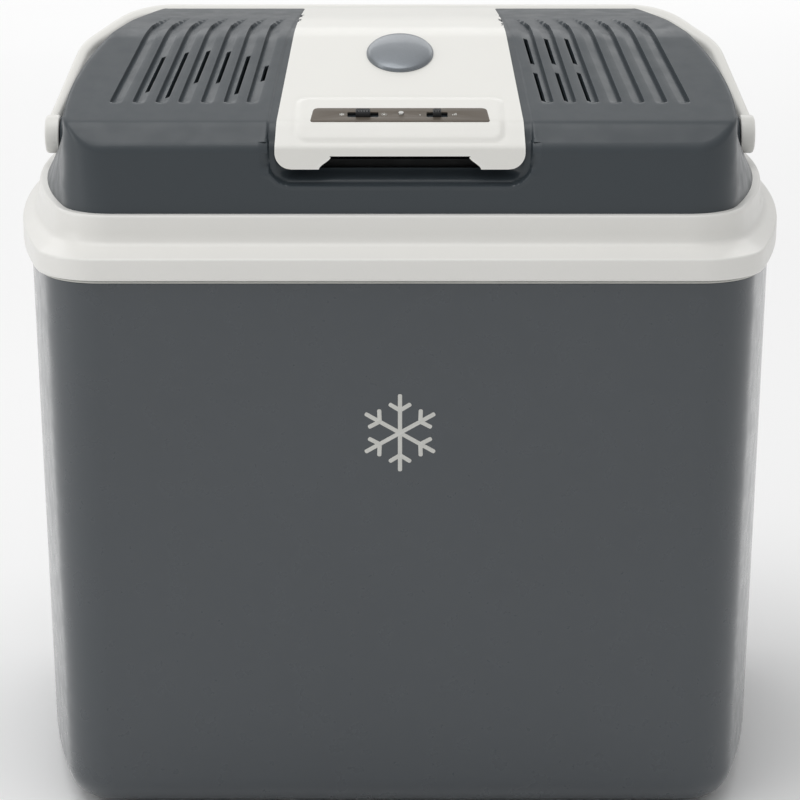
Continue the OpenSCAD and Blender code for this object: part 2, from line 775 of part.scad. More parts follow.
module dc_inlet() {
  color("#202224") socket(-17, 17, 12, 3.4);
}

module ac_inlet() {
  color("#202224") socket(17, 20, 13, 4.4);
}

module thermal_switch() {
  color("#c8ccd0") box([6, 14, 8], [62.9, unit_y, hot_base_z + hot_base_t]);
}

// ---------- handle ----------

module handle_pivots() {
  color("#8f9498") both_sides() {
    x_rod(pivot_pin_r, boss_in_x - pad_t - 2, pivot_y, pivot_z, pad_t + 8);
    x_rod(pivot_pin_r + 3, boss_in_x - pad_t - 2, pivot_y, pivot_z, 2);
  }
}

// Middle line of the bail's right half, in its own plane: a long arm, a bend, a short link and
// a second bend into the grip. The arm's length follows from the reach.
arm_length = (handle_reach - arm_corner_r[0] * (sin(arm_angle[1]) - sin(arm_angle[0]))
  - arm_link * cos(arm_angle[1]) - arm_corner_r[1] * (1 - sin(arm_angle[1]))) / cos(arm_angle[0]);
function bend(from, a0, a1, r, u) = let (a = a0 + (a1 - a0) * u)
  [from[0] - r * (cos(a0) - cos(a)), from[1] + r * (sin(a) - sin(a0))];
function along(from, a, d) = [from[0] - d * sin(a), from[1] + d * cos(a)];
bend_1 = along([arm_start_x, 0], arm_angle[0], arm_length);
link_end = along(bend(bend_1, arm_angle[0], arm_angle[1], arm_corner_r[0], 1), arm_angle[1], arm_link);

// Stations of that half as [point, direction, share of the way to the grip]
bail_half = concat(
  [[[arm_start_x, 0], arm_angle[0], 0]],
  [for (i = [0:bail_steps]) let (u = i / bail_steps)
    [bend(bend_1, arm_angle[0], arm_angle[1], arm_corner_r[0], u),
     arm_angle[0] + (arm_angle[1] - arm_angle[0]) * u, 0.3 + 0.3 * u]],
  [for (i = [0:bail_steps]) let (u = i / bail_steps)
    [bend(link_end, arm_angle[1], 90, arm_corner_r[1], u), arm_angle[1] + (90 - arm_angle[1]) * u, 0.7 + 0.3 * u]]);

// Section of the bail at a station: across its middle line, and square to its plane
function bail_section(st) = let (
    t = arm_t + (grip_t - arm_t) * st[2], h = arm_depth + (grip_depth - arm_depth) * st[2]) [for (q = [
    [-0.5, 0.3], [-0.3, 0.5], [0.3, 0.5], [0.5, 0.3], [0.5, -0.3], [0.3, -0.5], [-0.3, -0.5], [-0.5, -0.3]])
  [st[0][0] + q[0] * t * cos(st[1]), st[0][1] + q[0] * t * sin(st[1]), q[1] * h]];

module in_bail_plane() {
  translate([0, pivot_y, pivot_z]) rotate([handle_lean, 0, 0]) children();
}

module handle() {
  n = len(bail_half);
  left = [for (i = [n - 1:-1:0]) let (st = bail_half[i]) [[-st[0][0], st[0][1]], 180 - st[1], st[2]]];
  color("#e4e4e0") difference() {
    union() {
      in_bail_plane() loft([for (st = concat(bail_half, left)) bail_section(st)]);
      both_sides() x_rod(boss_r, boss_in_x, pivot_y, pivot_z, boss_t);
    }
    both_sides() x_rod(pivot_pin_r + pin_clearance, boss_in_x - 10, pivot_y, pivot_z, 16.4);
  }
}

outer_shell();
rim_trim();
inner_liner();
foam_insulation();
base_feet();
foot_screws();
hinge_brackets();
hinge_pins();
bracket_screws();
lid_frame();
lid_liner();
lid_foam();
lid_gasket();
hinge_knuckles();
knuckle_screws();
top_cover();
grip_cup();
control_panel();
switch_plate();
badge();
led_lens();
control_board();
mode_switch_body();
eco_switch_body();
cover_screws();
cold_sink();
spacer_block();
peltier_module();
hot_sink();
sink_screws();
hot_fan_frame();
cold_fan_frame();
fan_screws();
cold_grille();
power_board();
inlet_plate();
dc_inlet();
ac_inlet();
thermal_switch();
handle_pivots();
handle();
mode_knob();
eco_knob();
hot_fan_rotor();
cold_fan_rotor();
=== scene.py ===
import json
import math

import bmesh
import bpy
from mathutils import Matrix, Vector


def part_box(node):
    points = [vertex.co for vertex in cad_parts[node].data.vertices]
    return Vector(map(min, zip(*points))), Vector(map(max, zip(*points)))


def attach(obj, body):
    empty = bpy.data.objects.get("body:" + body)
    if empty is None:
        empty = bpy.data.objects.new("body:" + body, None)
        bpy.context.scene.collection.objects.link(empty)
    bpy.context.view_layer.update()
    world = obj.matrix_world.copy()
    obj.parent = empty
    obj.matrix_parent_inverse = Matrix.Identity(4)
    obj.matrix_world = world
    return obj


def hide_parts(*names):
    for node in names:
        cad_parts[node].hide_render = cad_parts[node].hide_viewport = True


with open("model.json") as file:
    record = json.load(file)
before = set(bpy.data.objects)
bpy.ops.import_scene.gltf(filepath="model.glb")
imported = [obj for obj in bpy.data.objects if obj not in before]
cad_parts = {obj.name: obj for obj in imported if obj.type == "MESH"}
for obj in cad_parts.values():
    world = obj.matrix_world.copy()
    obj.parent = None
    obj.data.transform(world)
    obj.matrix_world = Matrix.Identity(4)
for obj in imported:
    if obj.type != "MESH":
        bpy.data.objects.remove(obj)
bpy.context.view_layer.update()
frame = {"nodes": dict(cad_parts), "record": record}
NODES = frame["nodes"]
MM = 0.001


def box_mm(node):
    """Lowest and highest corner of a CAD node, in millimetres."""
    lo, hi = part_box(node)
    return lo / MM, hi / MM


# ---------- dimensions, in millimetres, taken from the frame ----------

RIM_LO, RIM_HI = box_mm("lid_frame")
LID_Z, DECK_Z = RIM_LO.z, RIM_HI.z
SHELL_LO, SHELL_HI = box_mm("outer_shell")
BASE_Z, SHELL_TOP = SHELL_LO.z, SHELL_HI.z
TRIM_TOP = box_mm("rim_trim")[1].z
PANEL_HI = box_mm("control_panel")[1]
PANEL_LIFT = 0.8
CROWN_Z = PANEL_HI.z - PANEL_LIFT
SKIRT_TOP = LID_Z + 12
LEDGE_Z = LID_Z + 16
WALL = 2.5
SHELL_INSET_TOP = 4.5
SHELL_INSET_FOOT = 10
FOOT_ROUND = 20
LINER_IN = 28
SLOPE = math.radians(18.1)

# Outlines in plan: front, back, half width, widest depth, side radius, front and back corner radii
RIM = (RIM_LO.y, RIM_HI.y, RIM_HI.x, 22, 520, 38, 38)
COVER_FOOT = (RIM_LO.y + 22.5, RIM_HI.y - 23, RIM_HI.x - 15, 7, 340, 30, 34)
COVER_HEAD = (RIM_LO.y + 28.5, RIM_HI.y - 38.5, RIM_HI.x - 25, -242, 880, 14, 30)
HEAD_RISE = 85

# Cover in side view, from the top of its front wall back to the foot of its back wall
FRONT_Y = COVER_FOOT[0]
ROOF = [
    (FRONT_Y + 2.5, DECK_Z + 35.4),
    (FRONT_Y + 13.5, DECK_Z + 47),
    (-10, DECK_Z + 47 + (-10 - FRONT_Y - 13.5) * math.tan(SLOPE)),
    (18, CROWN_Z),
    (62, CROWN_Z),
    (96, CROWN_Z - 10),
    (103, CROWN_Z - 21),
    (COVER_FOOT[1], DECK_Z),
]
ROOF_ROUND = [2.2, 9, 9, 9, 3, 3]
PLATE_Y = -105.5
SWITCH_X = 20

# The handle's bosses: inner face, radius and thickness, on an axis that crosses PIVOT
BOSS_IN = 196.4
BOSS_R = 11
BOSS_T = 8.2
PIVOT = Vector((0, 7, box_mm("handle")[0].z + BOSS_R))


# ---------- outlines and skins ----------


def half_outline(p, d, corner=12, side=24):
    """Half of a plan outline, from the front middle round the side to the back, d inside it."""
    rs, rf, rb = p[4] - d, max(p[5] - d, 6), max(p[6] - d, 6)
    cx, fy, by = p[2] - d - rs, p[0] + d + rf, p[1] - d - rb
    fx = cx + math.sqrt((rs - rf) ** 2 - (fy - p[3]) ** 2)
    bx = cx + math.sqrt((rs - rb) ** 2 - (by - p[3]) ** 2)
    fa, ba = math.atan2(fy - p[3], fx - cx), math.atan2(by - p[3], bx - cx)
    points = []
    for i in range(corner + 1):
        a = -math.pi / 2 + (fa + math.pi / 2) * i / corner
        points.append((fx + rf * math.cos(a), fy + rf * math.sin(a)))
    for i in range(1, side):
        a = fa + (ba - fa) * i / side
        points.append((cx + rs * math.cos(a), p[3] + rs * math.sin(a)))
    for i in range(corner + 1):
        a = ba + (math.pi / 2 - ba) * i / corner
        points.append((bx + rb * math.cos(a), by + rb * math.sin(a)))
    return points


def ring(p, d, z):
    """The whole outline at height z."""
    half = half_outline(p, d)
    return [Vector((x, y, z)) for x, y in half] + [Vector((-x, y, z)) for x, y in reversed(half)]


def band(p, section):
    return [ring(p, d, z) for d, z in section]


def fillet(rings, radii, loop=False, steps=4):
    """Rounds a stack of rings: each ring with a radius becomes a short curve towards its neighbours."""
    out = []
    n = len(rings)
    for k, r in enumerate(rings):
        radius = radii[k] if k < len(radii) else 0
        if not radius or (not loop and k in (0, n - 1)):
            out.append(r)
            continue
        before, after = rings[k - 1], rings[(k + 1) % n]
        for s in range(steps + 1):
            t = s / steps
            curve = []
            for a, p, b in zip(before, r, after):
                start = p + (a - p) * min(radius / max((a - p).length, 1e-6), 0.48)
                end = p + (b - p) * min(radius / max((b - p).length, 1e-6), 0.48)
                curve.append(start.lerp(p, t).lerp(p.lerp(end, t), t))
            out.append(curve)
    return out


def new_object(name, verts, faces, smooth=True, sharp=35, sheet=False):
    """A mesh object from points in millimetres, welded, with its faces turned outwards, or a sheet's up."""
    mesh = bpy.data.meshes.new(name)
    mesh.from_pydata([Vector(v) * MM for v in verts], [], faces)
    bm = bmesh.new()
    bm.from_mesh(mesh)
    bmesh.ops.remove_doubles(bm, verts=bm.verts, dist=0.004 * MM)
    bmesh.ops.dissolve_degenerate(bm, edges=bm.edges, dist=0.002 * MM)
    bmesh.ops.recalc_face_normals(bm, faces=bm.faces)
    if sheet and sum(f.normal.z * f.calc_area() for f in bm.faces) < 0:
        bmesh.ops.reverse_faces(bm, faces=bm.faces)
    bm.to_mesh(mesh)
    bm.free()
    obj = bpy.data.objects.new(name, mesh)
    bpy.context.scene.collection.objects.link(obj)
    if smooth:
        mesh.shade_smooth()
        mesh.set_sharp_from_angle(angle=math.radians(sharp))
    return obj


def skin(name, rings, loop=False, sharp=35):
    """A closed skin over rings of equal length; a loop joins the last ring to the first."""
    n, k = len(rings[0]), len(rings)
    faces = []
    for j in range(k if loop else k - 1):
        for i in range(n):
            up = ((j + 1) % k) * n
            faces.append((j * n + i, j * n + (i + 1) % n, up + (i + 1) % n, up + i))
    if not loop:
        faces.append(tuple(range(n)))
        faces.append(tuple(range((k - 1) * n, k * n)))
    return new_object(name, [p for r in rings for p in r], faces, sharp=sharp)


def grid_faces(rows, columns, keep=lambda r, c: True):
    return [
        (r * columns + c, r * columns + c + 1, (r + 1) * columns + c + 1, (r + 1) * columns + c)
        for r in range(rows - 1)
        for c in range(columns - 1)
        if keep(r, c)
    ]


def bake_modifiers(obj, sharp=35):
    """Applies the object's modifiers to its mesh."""
    graph = bpy.context.evaluated_depsgraph_get()
    graph.update()
    mesh = bpy.data.meshes.new_from_object(obj.evaluated_get(graph))
    obj.modifiers.clear()
    obj.data = mesh
    mesh.shade_smooth()
    mesh.set_sharp_from_angle(angle=math.radians(sharp))


def cut(obj, cutter):
    mod = obj.modifiers.new("cut", "BOOLEAN")
    mod.operation = "DIFFERENCE"
    mod.solver = "FAST"
    mod.object = cutter
    bpy.context.view_layer.update()
    bake_modifiers(obj)
    bpy.data.objects.remove(cutter)


def bevel(obj, width, segments=2, angle=35):
    mod = obj.modifiers.new("edges", "BEVEL")
    mod.width = width * MM
    mod.segments = segments
    mod.limit_method = "ANGLE"
    mod.angle_limit = math.radians(angle)
    mod.harden_normals = True
    mod.use_clamp_overlap = True
    return mod


def smoothstep(lo, hi, v):
    """0 at lo, 1 at hi, eased between them; lo may be the larger."""
    t = min(1.0, max(0.0, (v - lo) / (hi - lo)))
    return t * t * (3 - 2 * t)


def place(obj, body, slot, material, *nodes):
    """Gives a piece its material and body, and hides the CAD nodes that it stands for. The slot argument is
    not used.
    """
    obj.data.materials.clear()
    obj.data.materials.append(material)
    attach(obj, body)
    if nodes:
        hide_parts(*nodes)
    return obj


# ---------- materials ----------


class Shader:
    """A node tree around one Principled shader, with object coordinates in metres."""

    def __init__(self, name, **values):
        self.material = bpy.data.materials.new(name)
        self.material.use_nodes = True
        self.tree = self.material.node_tree
        self.shader = self.tree.nodes["Principled BSDF"]
        for key, value in values.items():
            self.shader.inputs[key.replace("_", " ")].default_value = value
        self.coords = self.node("ShaderNodeTexCoord").outputs["Object"]

    def node(self, kind, **settings):
        n = self.tree.nodes.new(kind)
        for key, value in settings.items():
            setattr(n, key, value)
        return n

    def link(self, a, b):
        self.tree.links.new(a, b)

    def stretched(self, scale):
        mapping = self.node("ShaderNodeMapping")
        mapping.inputs["Scale"].default_value = scale
        self.link(self.coords, mapping.inputs["Vector"])
        return mapping.outputs["Vector"]

    def noise(self, scale, detail=3, coords=None):
        n = self.node("ShaderNodeTexNoise")
        n.inputs["Scale"].default_value = scale
        n.inputs["Detail"].default_value = detail
        self.link(coords or self.coords, n.inputs["Vector"])
        return n.outputs["Fac"]

    def cells(self, scale, coords=None):
        n = self.node("ShaderNodeTexVoronoi")
        n.inputs["Scale"].default_value = scale
        self.link(coords or self.coords, n.inputs["Vector"])
        return n.outputs["Distance"]

    def spread(self, value, lo, hi):
        n = self.node("ShaderNodeMapRange", interpolation_type="SMOOTHSTEP")
        n.inputs["From Min"].default_value = 0.25
        n.inputs["From Max"].default_value = 0.75
        n.inputs["To Min"].default_value = lo
        n.inputs["To Max"].default_value = hi
        self.link(value, n.inputs["Value"])
        return n.outputs["Result"]

    def times(self, value, factor):
        n = self.node("ShaderNodeMath", operation="MULTIPLY")
        n.inputs[1].default_value = factor
        self.link(value, n.inputs[0])
        return n.outputs["Value"]

    def mix(self, factor, a, b):
        n = self.node("ShaderNodeMix", data_type="RGBA")
        self.link(factor, n.inputs["Factor"])
        for socket, colour in ((n.inputs["A"], a), (n.inputs["B"], b)):
            if isinstance(colour, tuple):
                socket.default_value = colour
            else:
                self.link(colour, socket)
        return n.outputs["Result"]

    def edges(self, lo=0.52, hi=0.62):
        """Convex edges, from the surface's pointiness."""
        ramp = self.node("ShaderNodeMapRange")
        ramp.inputs["From Min"].default_value = lo
        ramp.inputs["From Max"].default_value = hi
        self.link(self.node("ShaderNodeNewGeometry").outputs["Pointiness"], ramp.inputs["Value"])
        return ramp.outputs["Result"]

    def colour(self, output):
        self.link(output, self.shader.inputs["Base Color"])

    def roughness(self, output):
        self.link(output, self.shader.inputs["Roughness"])

    def bump(self, height, depth, strength=1.0, after=None):
        n = self.node("ShaderNodeBump")
        n.inputs["Strength"].default_value = strength
        n.inputs["Distance"].default_value = depth * MM
        self.link(height, n.inputs["Height"])
        if after:
            self.link(after, n.inputs["Normal"])
        self.link(n.outputs["Normal"], self.shader.inputs["Normal"])
        return n.outputs["Normal"]


def srgb(*c):
    """Linear colour from sRGB values of 0 to 255."""
    return tuple((v / 255 / 12.92) if v < 10.3 else ((v / 255 + 0.055) / 1.055) ** 2.4 for v in c) + (1.0,)


def shade(colour, k):
    return tuple(min(1.0, v * k) for v in colour[:3]) + (1.0,)


def moulded(name, colour, rough, grain=0.02, grain_scale=2600, coat=0.0, mottle=0.05, edge_highlight=0.12, peel=0.0):
    """Moulded plastic: slow colour drift, a fine spark-eroded grain, uneven gloss and paler convex edges,
    which are a painted highlight.
    """
    s = Shader(name, Roughness=rough, Coat_Weight=coat, Coat_Roughness=0.08)
    drift = s.spread(s.noise(9, 4), 0, 1)
    base = s.mix(drift, shade(colour, 1 - mottle), shade(colour, 1 + mottle))
    speck = s.mix(s.spread(s.noise(1800, 2), 0, 0.35), base, shade(colour, 1 - 3 * mottle))
    scuffs = s.noise(85, 5)
    # Convex edges, found from pointiness, are mixed towards a paler tone: a painted highlight.
    s.colour(s.mix(s.times(s.edges(), edge_highlight), speck, shade(colour, 1.7)))
    s.roughness(s.spread(scuffs, rough - 0.05, rough + 0.08))
    normal = s.bump(s.noise(grain_scale, 2), grain)
    if peel:
        s.bump(s.noise(130, 2), peel, after=normal)
    return s.material


def brushed(name, colour, rough, direction, metallic=1.0, scratch=0.012):
    """Brushed or drawn metal: fine lines along one direction in colour, gloss and relief."""
    s = Shader(name, Roughness=rough, Metallic=metallic)
    lines = s.noise(1, 6, s.stretched(direction))
    stain = s.spread(s.noise(60, 3), 0, 1)
    base = s.mix(s.spread(lines, 0, 1), shade(colour, 0.86), shade(colour, 1.1))
    s.colour(s.mix(s.times(stain, 0.25), base, shade(colour, 0.72)))
    s.roughness(s.spread(lines, rough - 0.08, rough + 0.12))
    s.bump(lines, scratch)
    return s.material


def rubber(name, colour):
    """Moulded rubber: dusty, with a pebbled relief."""
    s = Shader(name, Roughness=0.8)
    dust = s.spread(s.noise(220, 5), 0, 1)
    s.colour(s.mix(dust, colour, shade(colour, 1.9)))
    s.roughness(s.spread(s.noise(900, 2), 0.7, 0.95))
    s.bump(s.cells(1400), 0.05)
    return s.material


def rigid_foam(name, colour):
    """Cut rigid foam: open cells and a slightly burnt tint."""
    s = Shader(name, Roughness=0.95)
    s.colour(s.mix(s.spread(s.noise(40, 5), 0, 1), shade(colour, 0.82), shade(colour, 1.05)))
    s.bump(s.cells(700), 0.35)
    return s.material


def circuit_board(name, colour):
    """Lacquered board: paler tracks under a glossy lacquer."""
    s = Shader(name, Roughness=0.35, Coat_Weight=0.4)
    tracks = s.node("ShaderNodeTexBrick")
    tracks.inputs["Scale"].default_value = 160
    tracks.inputs["Color1"].default_value = shade(colour, 1.5)
    tracks.inputs["Color2"].default_value = shade(colour, 1.2)
    tracks.inputs["Mortar"].default_value = colour
    tracks.inputs["Mortar Size"].default_value = 0.06
    s.link(s.coords, tracks.inputs["Vector"])
    s.colour(s.mix(s.spread(s.noise(300, 3), 0, 0.5), tracks.outputs["Color"], shade(colour, 0.7)))
    s.bump(tracks.outputs["Fac"], 0.04)
    return s.material


def flake_paint(name, colour):
    """Metallic paint: fine flakes that vary in tone and lie at slightly different angles."""
    s = Shader(name, Roughness=0.38, Metallic=0.75, Coat_Weight=0.35)
    flakes = s.cells(5200)
    s.colour(s.mix(s.spread(flakes, 0, 1), shade(colour, 1.25), shade(colour, 0.88)))
    s.roughness(s.spread(s.noise(35, 3), 0.32, 0.46))
    s.bump(flakes, 0.01)
    return s.material


def clear_lens(name, colour):
    s = Shader(name, Roughness=0.15, Coat_Weight=0.6, Transmission_Weight=0.25)
    s.colour(s.mix(s.spread(s.noise(700, 2), 0, 1), shade(colour, 0.9), colour))
    s.bump(s.noise(1500, 2), 0.01)
    return s.material


# Every moulded material below lightens its convex edges as a painted highlight; it is strongest on the cup,
# the black plastic and the knobs.
MATERIALS = {
    "shell": moulded(
        "shell_plastic", srgb(60, 66, 71), 0.3, grain=0.004, coat=0.55, mottle=0.03, peel=0.006
    ),
    "trim_light": moulded("trim_plastic", srgb(205, 205, 200), 0.45),
    "liner_white": moulded("liner_plastic", srgb(238, 239, 237), 0.3, grain=0.008, coat=0.2, mottle=0.02),
    "foam": rigid_foam("insulation_foam", srgb(232, 218, 176)),
    "feet_rubber": rubber("feet_rubber", srgb(42, 43, 45)),
    "gasket_rubber": rubber("gasket_rubber", srgb(66, 69, 72)),
    "screw_steel": brushed("screw_steel", srgb(176, 178, 180), 0.35, (300, 2400, 300)),
    "frame_white": moulded(
        "frame_plastic", srgb(232, 231, 227), 0.38, grain=0.008, coat=0.12, mottle=0.012
    ),
    "cover_grey": moulded("cover_plastic", srgb(54, 61, 66), 0.38, grain=0.02, coat=0.1, mottle=0.03),
    "panel_white": moulded(
        "panel_plastic", srgb(233, 232, 227), 0.36, grain=0.008, coat=0.15, mottle=0.012
    ),
    "handle_white": moulded(
        "handle_plastic", srgb(230, 229, 224), 0.36, grain=0.008, coat=0.12, mottle=0.015
    ),
    "pivot_plastic": moulded("pivot_plastic", srgb(150, 153, 155), 0.4),
    "cup_black": moulded("cup_plastic", srgb(22, 24, 25), 0.55, grain=0.05, edge_highlight=0.3),
    "plate_bronze": brushed("plate_bronze", srgb(100, 92, 82), 0.42, (60, 3200, 3200), metallic=0.4),
    "badge_silver": flake_paint("badge_paint", srgb(128, 133, 138)),
    "led_clear": clear_lens("led_lens", srgb(240, 240, 236)),
    "board_green": circuit_board("board_lacquer", srgb(38, 98, 56)),
    "black_plastic": moulded("black_plastic", srgb(36, 38, 40), 0.45, grain=0.03, edge_highlight=0.3),
    "knob_black": moulded("knob_plastic", srgb(22, 23, 25), 0.4, grain=0.02, edge_highlight=0.35),
    "sink_aluminium": brushed("sink_aluminium", srgb(196, 198, 200), 0.35, (2600, 90, 2600)),
    "module_ceramic": moulded("module_ceramic", srgb(238, 238, 230), 0.6, grain=0.03),
}


def dress_cad_nodes():
    """Materials, welded smooth shading and rounded edges for the CAD nodes that stay."""
    slots = {row["node"]: row["material_slot"] for row in frame["record"]["subparts"]}
    group = weld_and_smooth()
    fine = ("fan_screws", "sink_screws", "foot_screws", "bracket_screws", "knuckle_screws", "cover_screws")
    for name, obj in NODES.items():
        if obj.hide_render:
            continue
        obj.data.materials.clear()
        obj.data.materials.append(MATERIALS[slots[name]])
        obj.modifiers.new("smooth", "NODES").node_group = group
        bevel(obj, 0.12 if name in fine else 0.3, 2, 32)


def weld_and_smooth():
    """Geometry nodes that weld a CAD mesh and keep only its real corners sharp."""
    group = bpy.data.node_groups.new("weld_and_smooth", "GeometryNodeTree")
    group.interface.new_socket("Geometry", in_out="INPUT", socket_type="NodeSocketGeometry")
    group.interface.new_socket("Geometry", in_out="OUTPUT", socket_type="NodeSocketGeometry")
    node = group.nodes.new
    link = group.links.new
    start, end = node("NodeGroupInput"), node("NodeGroupOutput")
    weld = node("GeometryNodeMergeByDistance")
    weld.inputs["Distance"].default_value = 0.002 * MM
    faces = node("GeometryNodeSetShadeSmooth")
    edges = node("GeometryNodeSetShadeSmooth")
    edges.domain = "EDGE"
    edges.inputs["Shade Smooth"].default_value = False
    angle = node("GeometryNodeInputMeshEdgeAngle")
    wide = node("FunctionNodeCompare")
    wide.inputs[1].default_value = math.radians(28)
    link(start.outputs[0], weld.inputs["Geometry"])
    link(weld.outputs["Geometry"], faces.inputs["Geometry"])
    link(faces.outputs["Geometry"], edges.inputs["Geometry"])
    link(angle.outputs["Unsigned Angle"], wide.inputs[0])
    link(wide.outputs["Result"], edges.inputs["Selection"])
    link(edges.outputs["Geometry"], end.inputs[0])
    return group


# ---------- tub ----------


def shell_in(z):
    return SHELL_INSET_FOOT + (SHELL_INSET_TOP - SHELL_INSET_FOOT) * (z - BASE_Z) / (SHELL_TOP - BASE_Z)


def foot_arc(t, steps=10):
    """The shell's rounded foot, t inside its face, as [inset, height]."""
    r = FOOT_ROUND - t
    side = shell_in(BASE_Z + FOOT_ROUND) + t
    angles = [math.pi / 2 * (1 - i / steps) for i in range(steps + 1)]
    return [(side + r * (1 - math.cos(a)), BASE_Z + t + r * (1 - math.sin(a))) for a in angles]


def outer_shell():
    top = shell_in(SHELL_TOP)
    outside = foot_arc(0) + [(shell_in(z), z) for z in (60, 120, 180, 240, 290)]
    lip = [(top, SHELL_TOP - 0.5), (top + 0.5, SHELL_TOP), (top + WALL, SHELL_TOP)]
    return skin("tub_shell", band(RIM, outside + lip + foot_arc(WALL)[::-1]))


def rim_trim():
    section = [
        (SHELL_INSET_TOP - 0.6, SHELL_TOP),
        (SHELL_INSET_TOP - 0.6, TRIM_TOP - 0.4),
        (SHELL_INSET_TOP, TRIM_TOP),
        (LINER_IN - 2, TRIM_TOP),
        (LINER_IN - 2, SHELL_TOP - 8),
        (LINER_IN - 4, SHELL_TOP - 8),
        (LINER_IN - 4, SHELL_TOP),
    ]
    return skin("tub_rim_trim", fillet(band(RIM, section), [0] + [0.3] * 6, True, 2), loop=True)


def inner_liner():
    floor = box_mm("inner_liner")[0].z + 2
    foot = LINER_IN + 8
    section = [
        (foot + 14, floor - 2), (foot + 3, floor - 0.5), (foot, floor + 10),
        (LINER_IN - 1.6, SHELL_TOP - 8),
        (LINER_IN - 1.95, TRIM_TOP), (LINER_IN + 0.05, TRIM_TOP), (LINER_IN + 0.4, SHELL_TOP - 8),
        (foot + 2, floor + 12), (foot + 5, floor + 3), (foot + 14, floor),
    ]
    return skin("cool_liner", fillet(band(RIM, section), [0, 3, 3, 2, 0.5, 0.8, 2, 4, 5, 0]))


# ---------- lid frame ----------


def lid_frame():
    """Skirt, sloped ledge, hollow riser and narrow deck, one moulding with soft edges."""
    f, r = COVER_FOOT, RIM
    rings = [
        ring(f, 12, DECK_Z - WALL), ring(f, 0, DECK_Z - WALL), ring(f, -1.5, LEDGE_Z + 1),
        ring(r, 14, LEDGE_Z - WALL), ring(r, WALL, SKIRT_TOP - WALL), ring(r, WALL, LID_Z),
        ring(r, 0.5, LID_Z), ring(r, 0, LID_Z + 1.2), ring(r, 0, SKIRT_TOP), ring(f, -6.8, LEDGE_Z),
        ring(f, -5.0, LEDGE_Z + 4), ring(f, -4.3, DECK_Z), ring(f, 0, DECK_Z), ring(f, 12, DECK_Z),
    ]
    radii = [0, 1, 1.5, 1.5, 1, 0.4, 0.5, 0.6, 1.3, 3.5, 3, 1.6, 0, 0]
    return skin("lid_rim_frame", fillet(rings, radii, True, 5), loop=True, sharp=50)


# ---------- cover ----------


def roof_line(y):
    if y <= ROOF[0][0]:
        return ROOF[0][1]
    for (y0, z0), (y1, z1) in zip(ROOF, ROOF[1:]):
        if y <= y1:
            return z0 + (z1 - z0) * (y - y0) / (y1 - y0)
    return ROOF[-1][1]


def roof_z(y):
    """Height of the cover's top at depth y, with each bend rounded by a parabola."""
    z = roof_line(y)
    for before, bend, after, r in zip(ROOF, ROOF[1:], ROOF[2:], ROOF_ROUND):
        d = abs(y - bend[0])
        if d < r:
            slope_after = (after[1] - bend[1]) / (after[0] - bend[0])
            slope_before = (bend[1] - before[1]) / (bend[0] - before[0])
            z += (slope_after - slope_before) * (r - d) ** 2 / (4 * r)
    return z


def panel_half(y):
    return 66.5 - 11.5 * (y - ROOF[1][0]) / (62 - ROOF[1][0])


VENT_FRONT, VENT_BACK = -88, 3
GROOVE_W, GROOVE_D, WALL_OFF, SLOT_HALF = 6.6, 2.0, 4.9, 1.25
SLOTS = {
    1: [(i, a, b) for i in range(3) for a, b in ((-88, -57), (-47, -18))],
    -1: [(0, -66, -49), (1, -80, -38), (2, -68, -33), (3, -68, -32), (4, -84, -34), (5, -78, -39)],
}


def vent_x(i, y):
    k = (y - VENT_FRONT) / (VENT_BACK - VENT_FRONT)
    return (78.2 + 12.4 * i) * (1 - k) + (68.5 + 11.3 * i) * k


def channel_x(y):
    """Edge of the shallow channel that the control panel sits in."""
    return panel_half(y) + 4.4 - 3.2 * smoothstep(-60, 40, y)


# Places of the roof's columns across the panel, past the channel's edge and from each groove's wall
PANEL_COLUMNS = (0, 10, 20, 30, 38, 44, 48, 51, 53.5, 56, 57.5, 59, 60.5, 62, 63.5, 65, 66.5)
CHANNEL_COLUMNS = (-3.2, -2.2, -1.2, -0.5, 0, 0.35, 0.8, 1.3, 2.0, 2.8, 3.8)
GROOVE_COLUMNS = (-6.6, -6.1, -5.95, -4.9, -3.65, -2.4, -1.2, -0.35, 0, 0.5, 1.1, 2.6)
SIDE_COLUMNS = (0.35, 0.68, 0.88, 1)
GROOVES = 7


def column_lines(y):
    """Where the roof's columns cross depth y, on one side."""
    columns = [v * panel_half(y) / 66.5 for v in PANEL_COLUMNS]
    columns += [channel_x(y) + off for off in CHANNEL_COLUMNS]
    return columns + [vent_x(i, y) + WALL_OFF + off for i in range(GROOVES) for off in GROOVE_COLUMNS]


def groove_depth(i, x, y):
    """Depth of groove i at a point: a steep outer wall, a floor that ramps up towards the panel."""
    d = x - vent_x(i, y) - WALL_OFF
    if d > 0.5 or d < -GROOVE_W:
        return 0
    ramp = GROOVE_D * (1 + d / GROOVE_W) if d < 0 else GROOVE_D * (1 - smoothstep(0, 0.5, d))
    back = 4 + 20 * min(1, max(0, -d / GROOVE_W)) ** 0.8
    front = smoothstep(VENT_FRONT - 3.2, VENT_FRONT + 0.8, y - 1.2 * smoothstep(-2.5, 0, d))
    return ramp * front * (1 - smoothstep(back - 0.8, back + 0.3, y))


def surround(x, y, z):
    """How far the panel's surround is pressed in: deep on the front wall, shallow on the slope."""
    r, half, foot = 13, 71.2, DECK_Z + 15.7
    dx, dz = abs(x) - (channel_x(max(y, ROOF[1][0])) + half - channel_x(ROOF[1][0]) - r), (foot + r) - z
    out = math.hypot(max(dx, 0), max(dz, 0)) - r if max(dx, dz) > 0 else -r
    inside = smoothstep(0.7, -0.7, out)
    slope = smoothstep(ROOF[0][1] - 3, ROOF[1][1] + 1, z) if y < 0 else 1
    inward = Vector((0, 1 - 0.7 * slope, -0.95 * slope)).normalized()
    lip = 0.4 * math.exp(-(((out - 1.4) / 0.8) ** 2)) * (1 - slope)
    scoop = 8 * smoothstep(foot + 0.8, foot + 7, z) * smoothstep(68, 55, abs(x)) * smoothstep(379, 374, z)
    return inward * (inside * (3.2 - 2.6 * slope) - lip) + Vector((0, inside * scoop, 0))


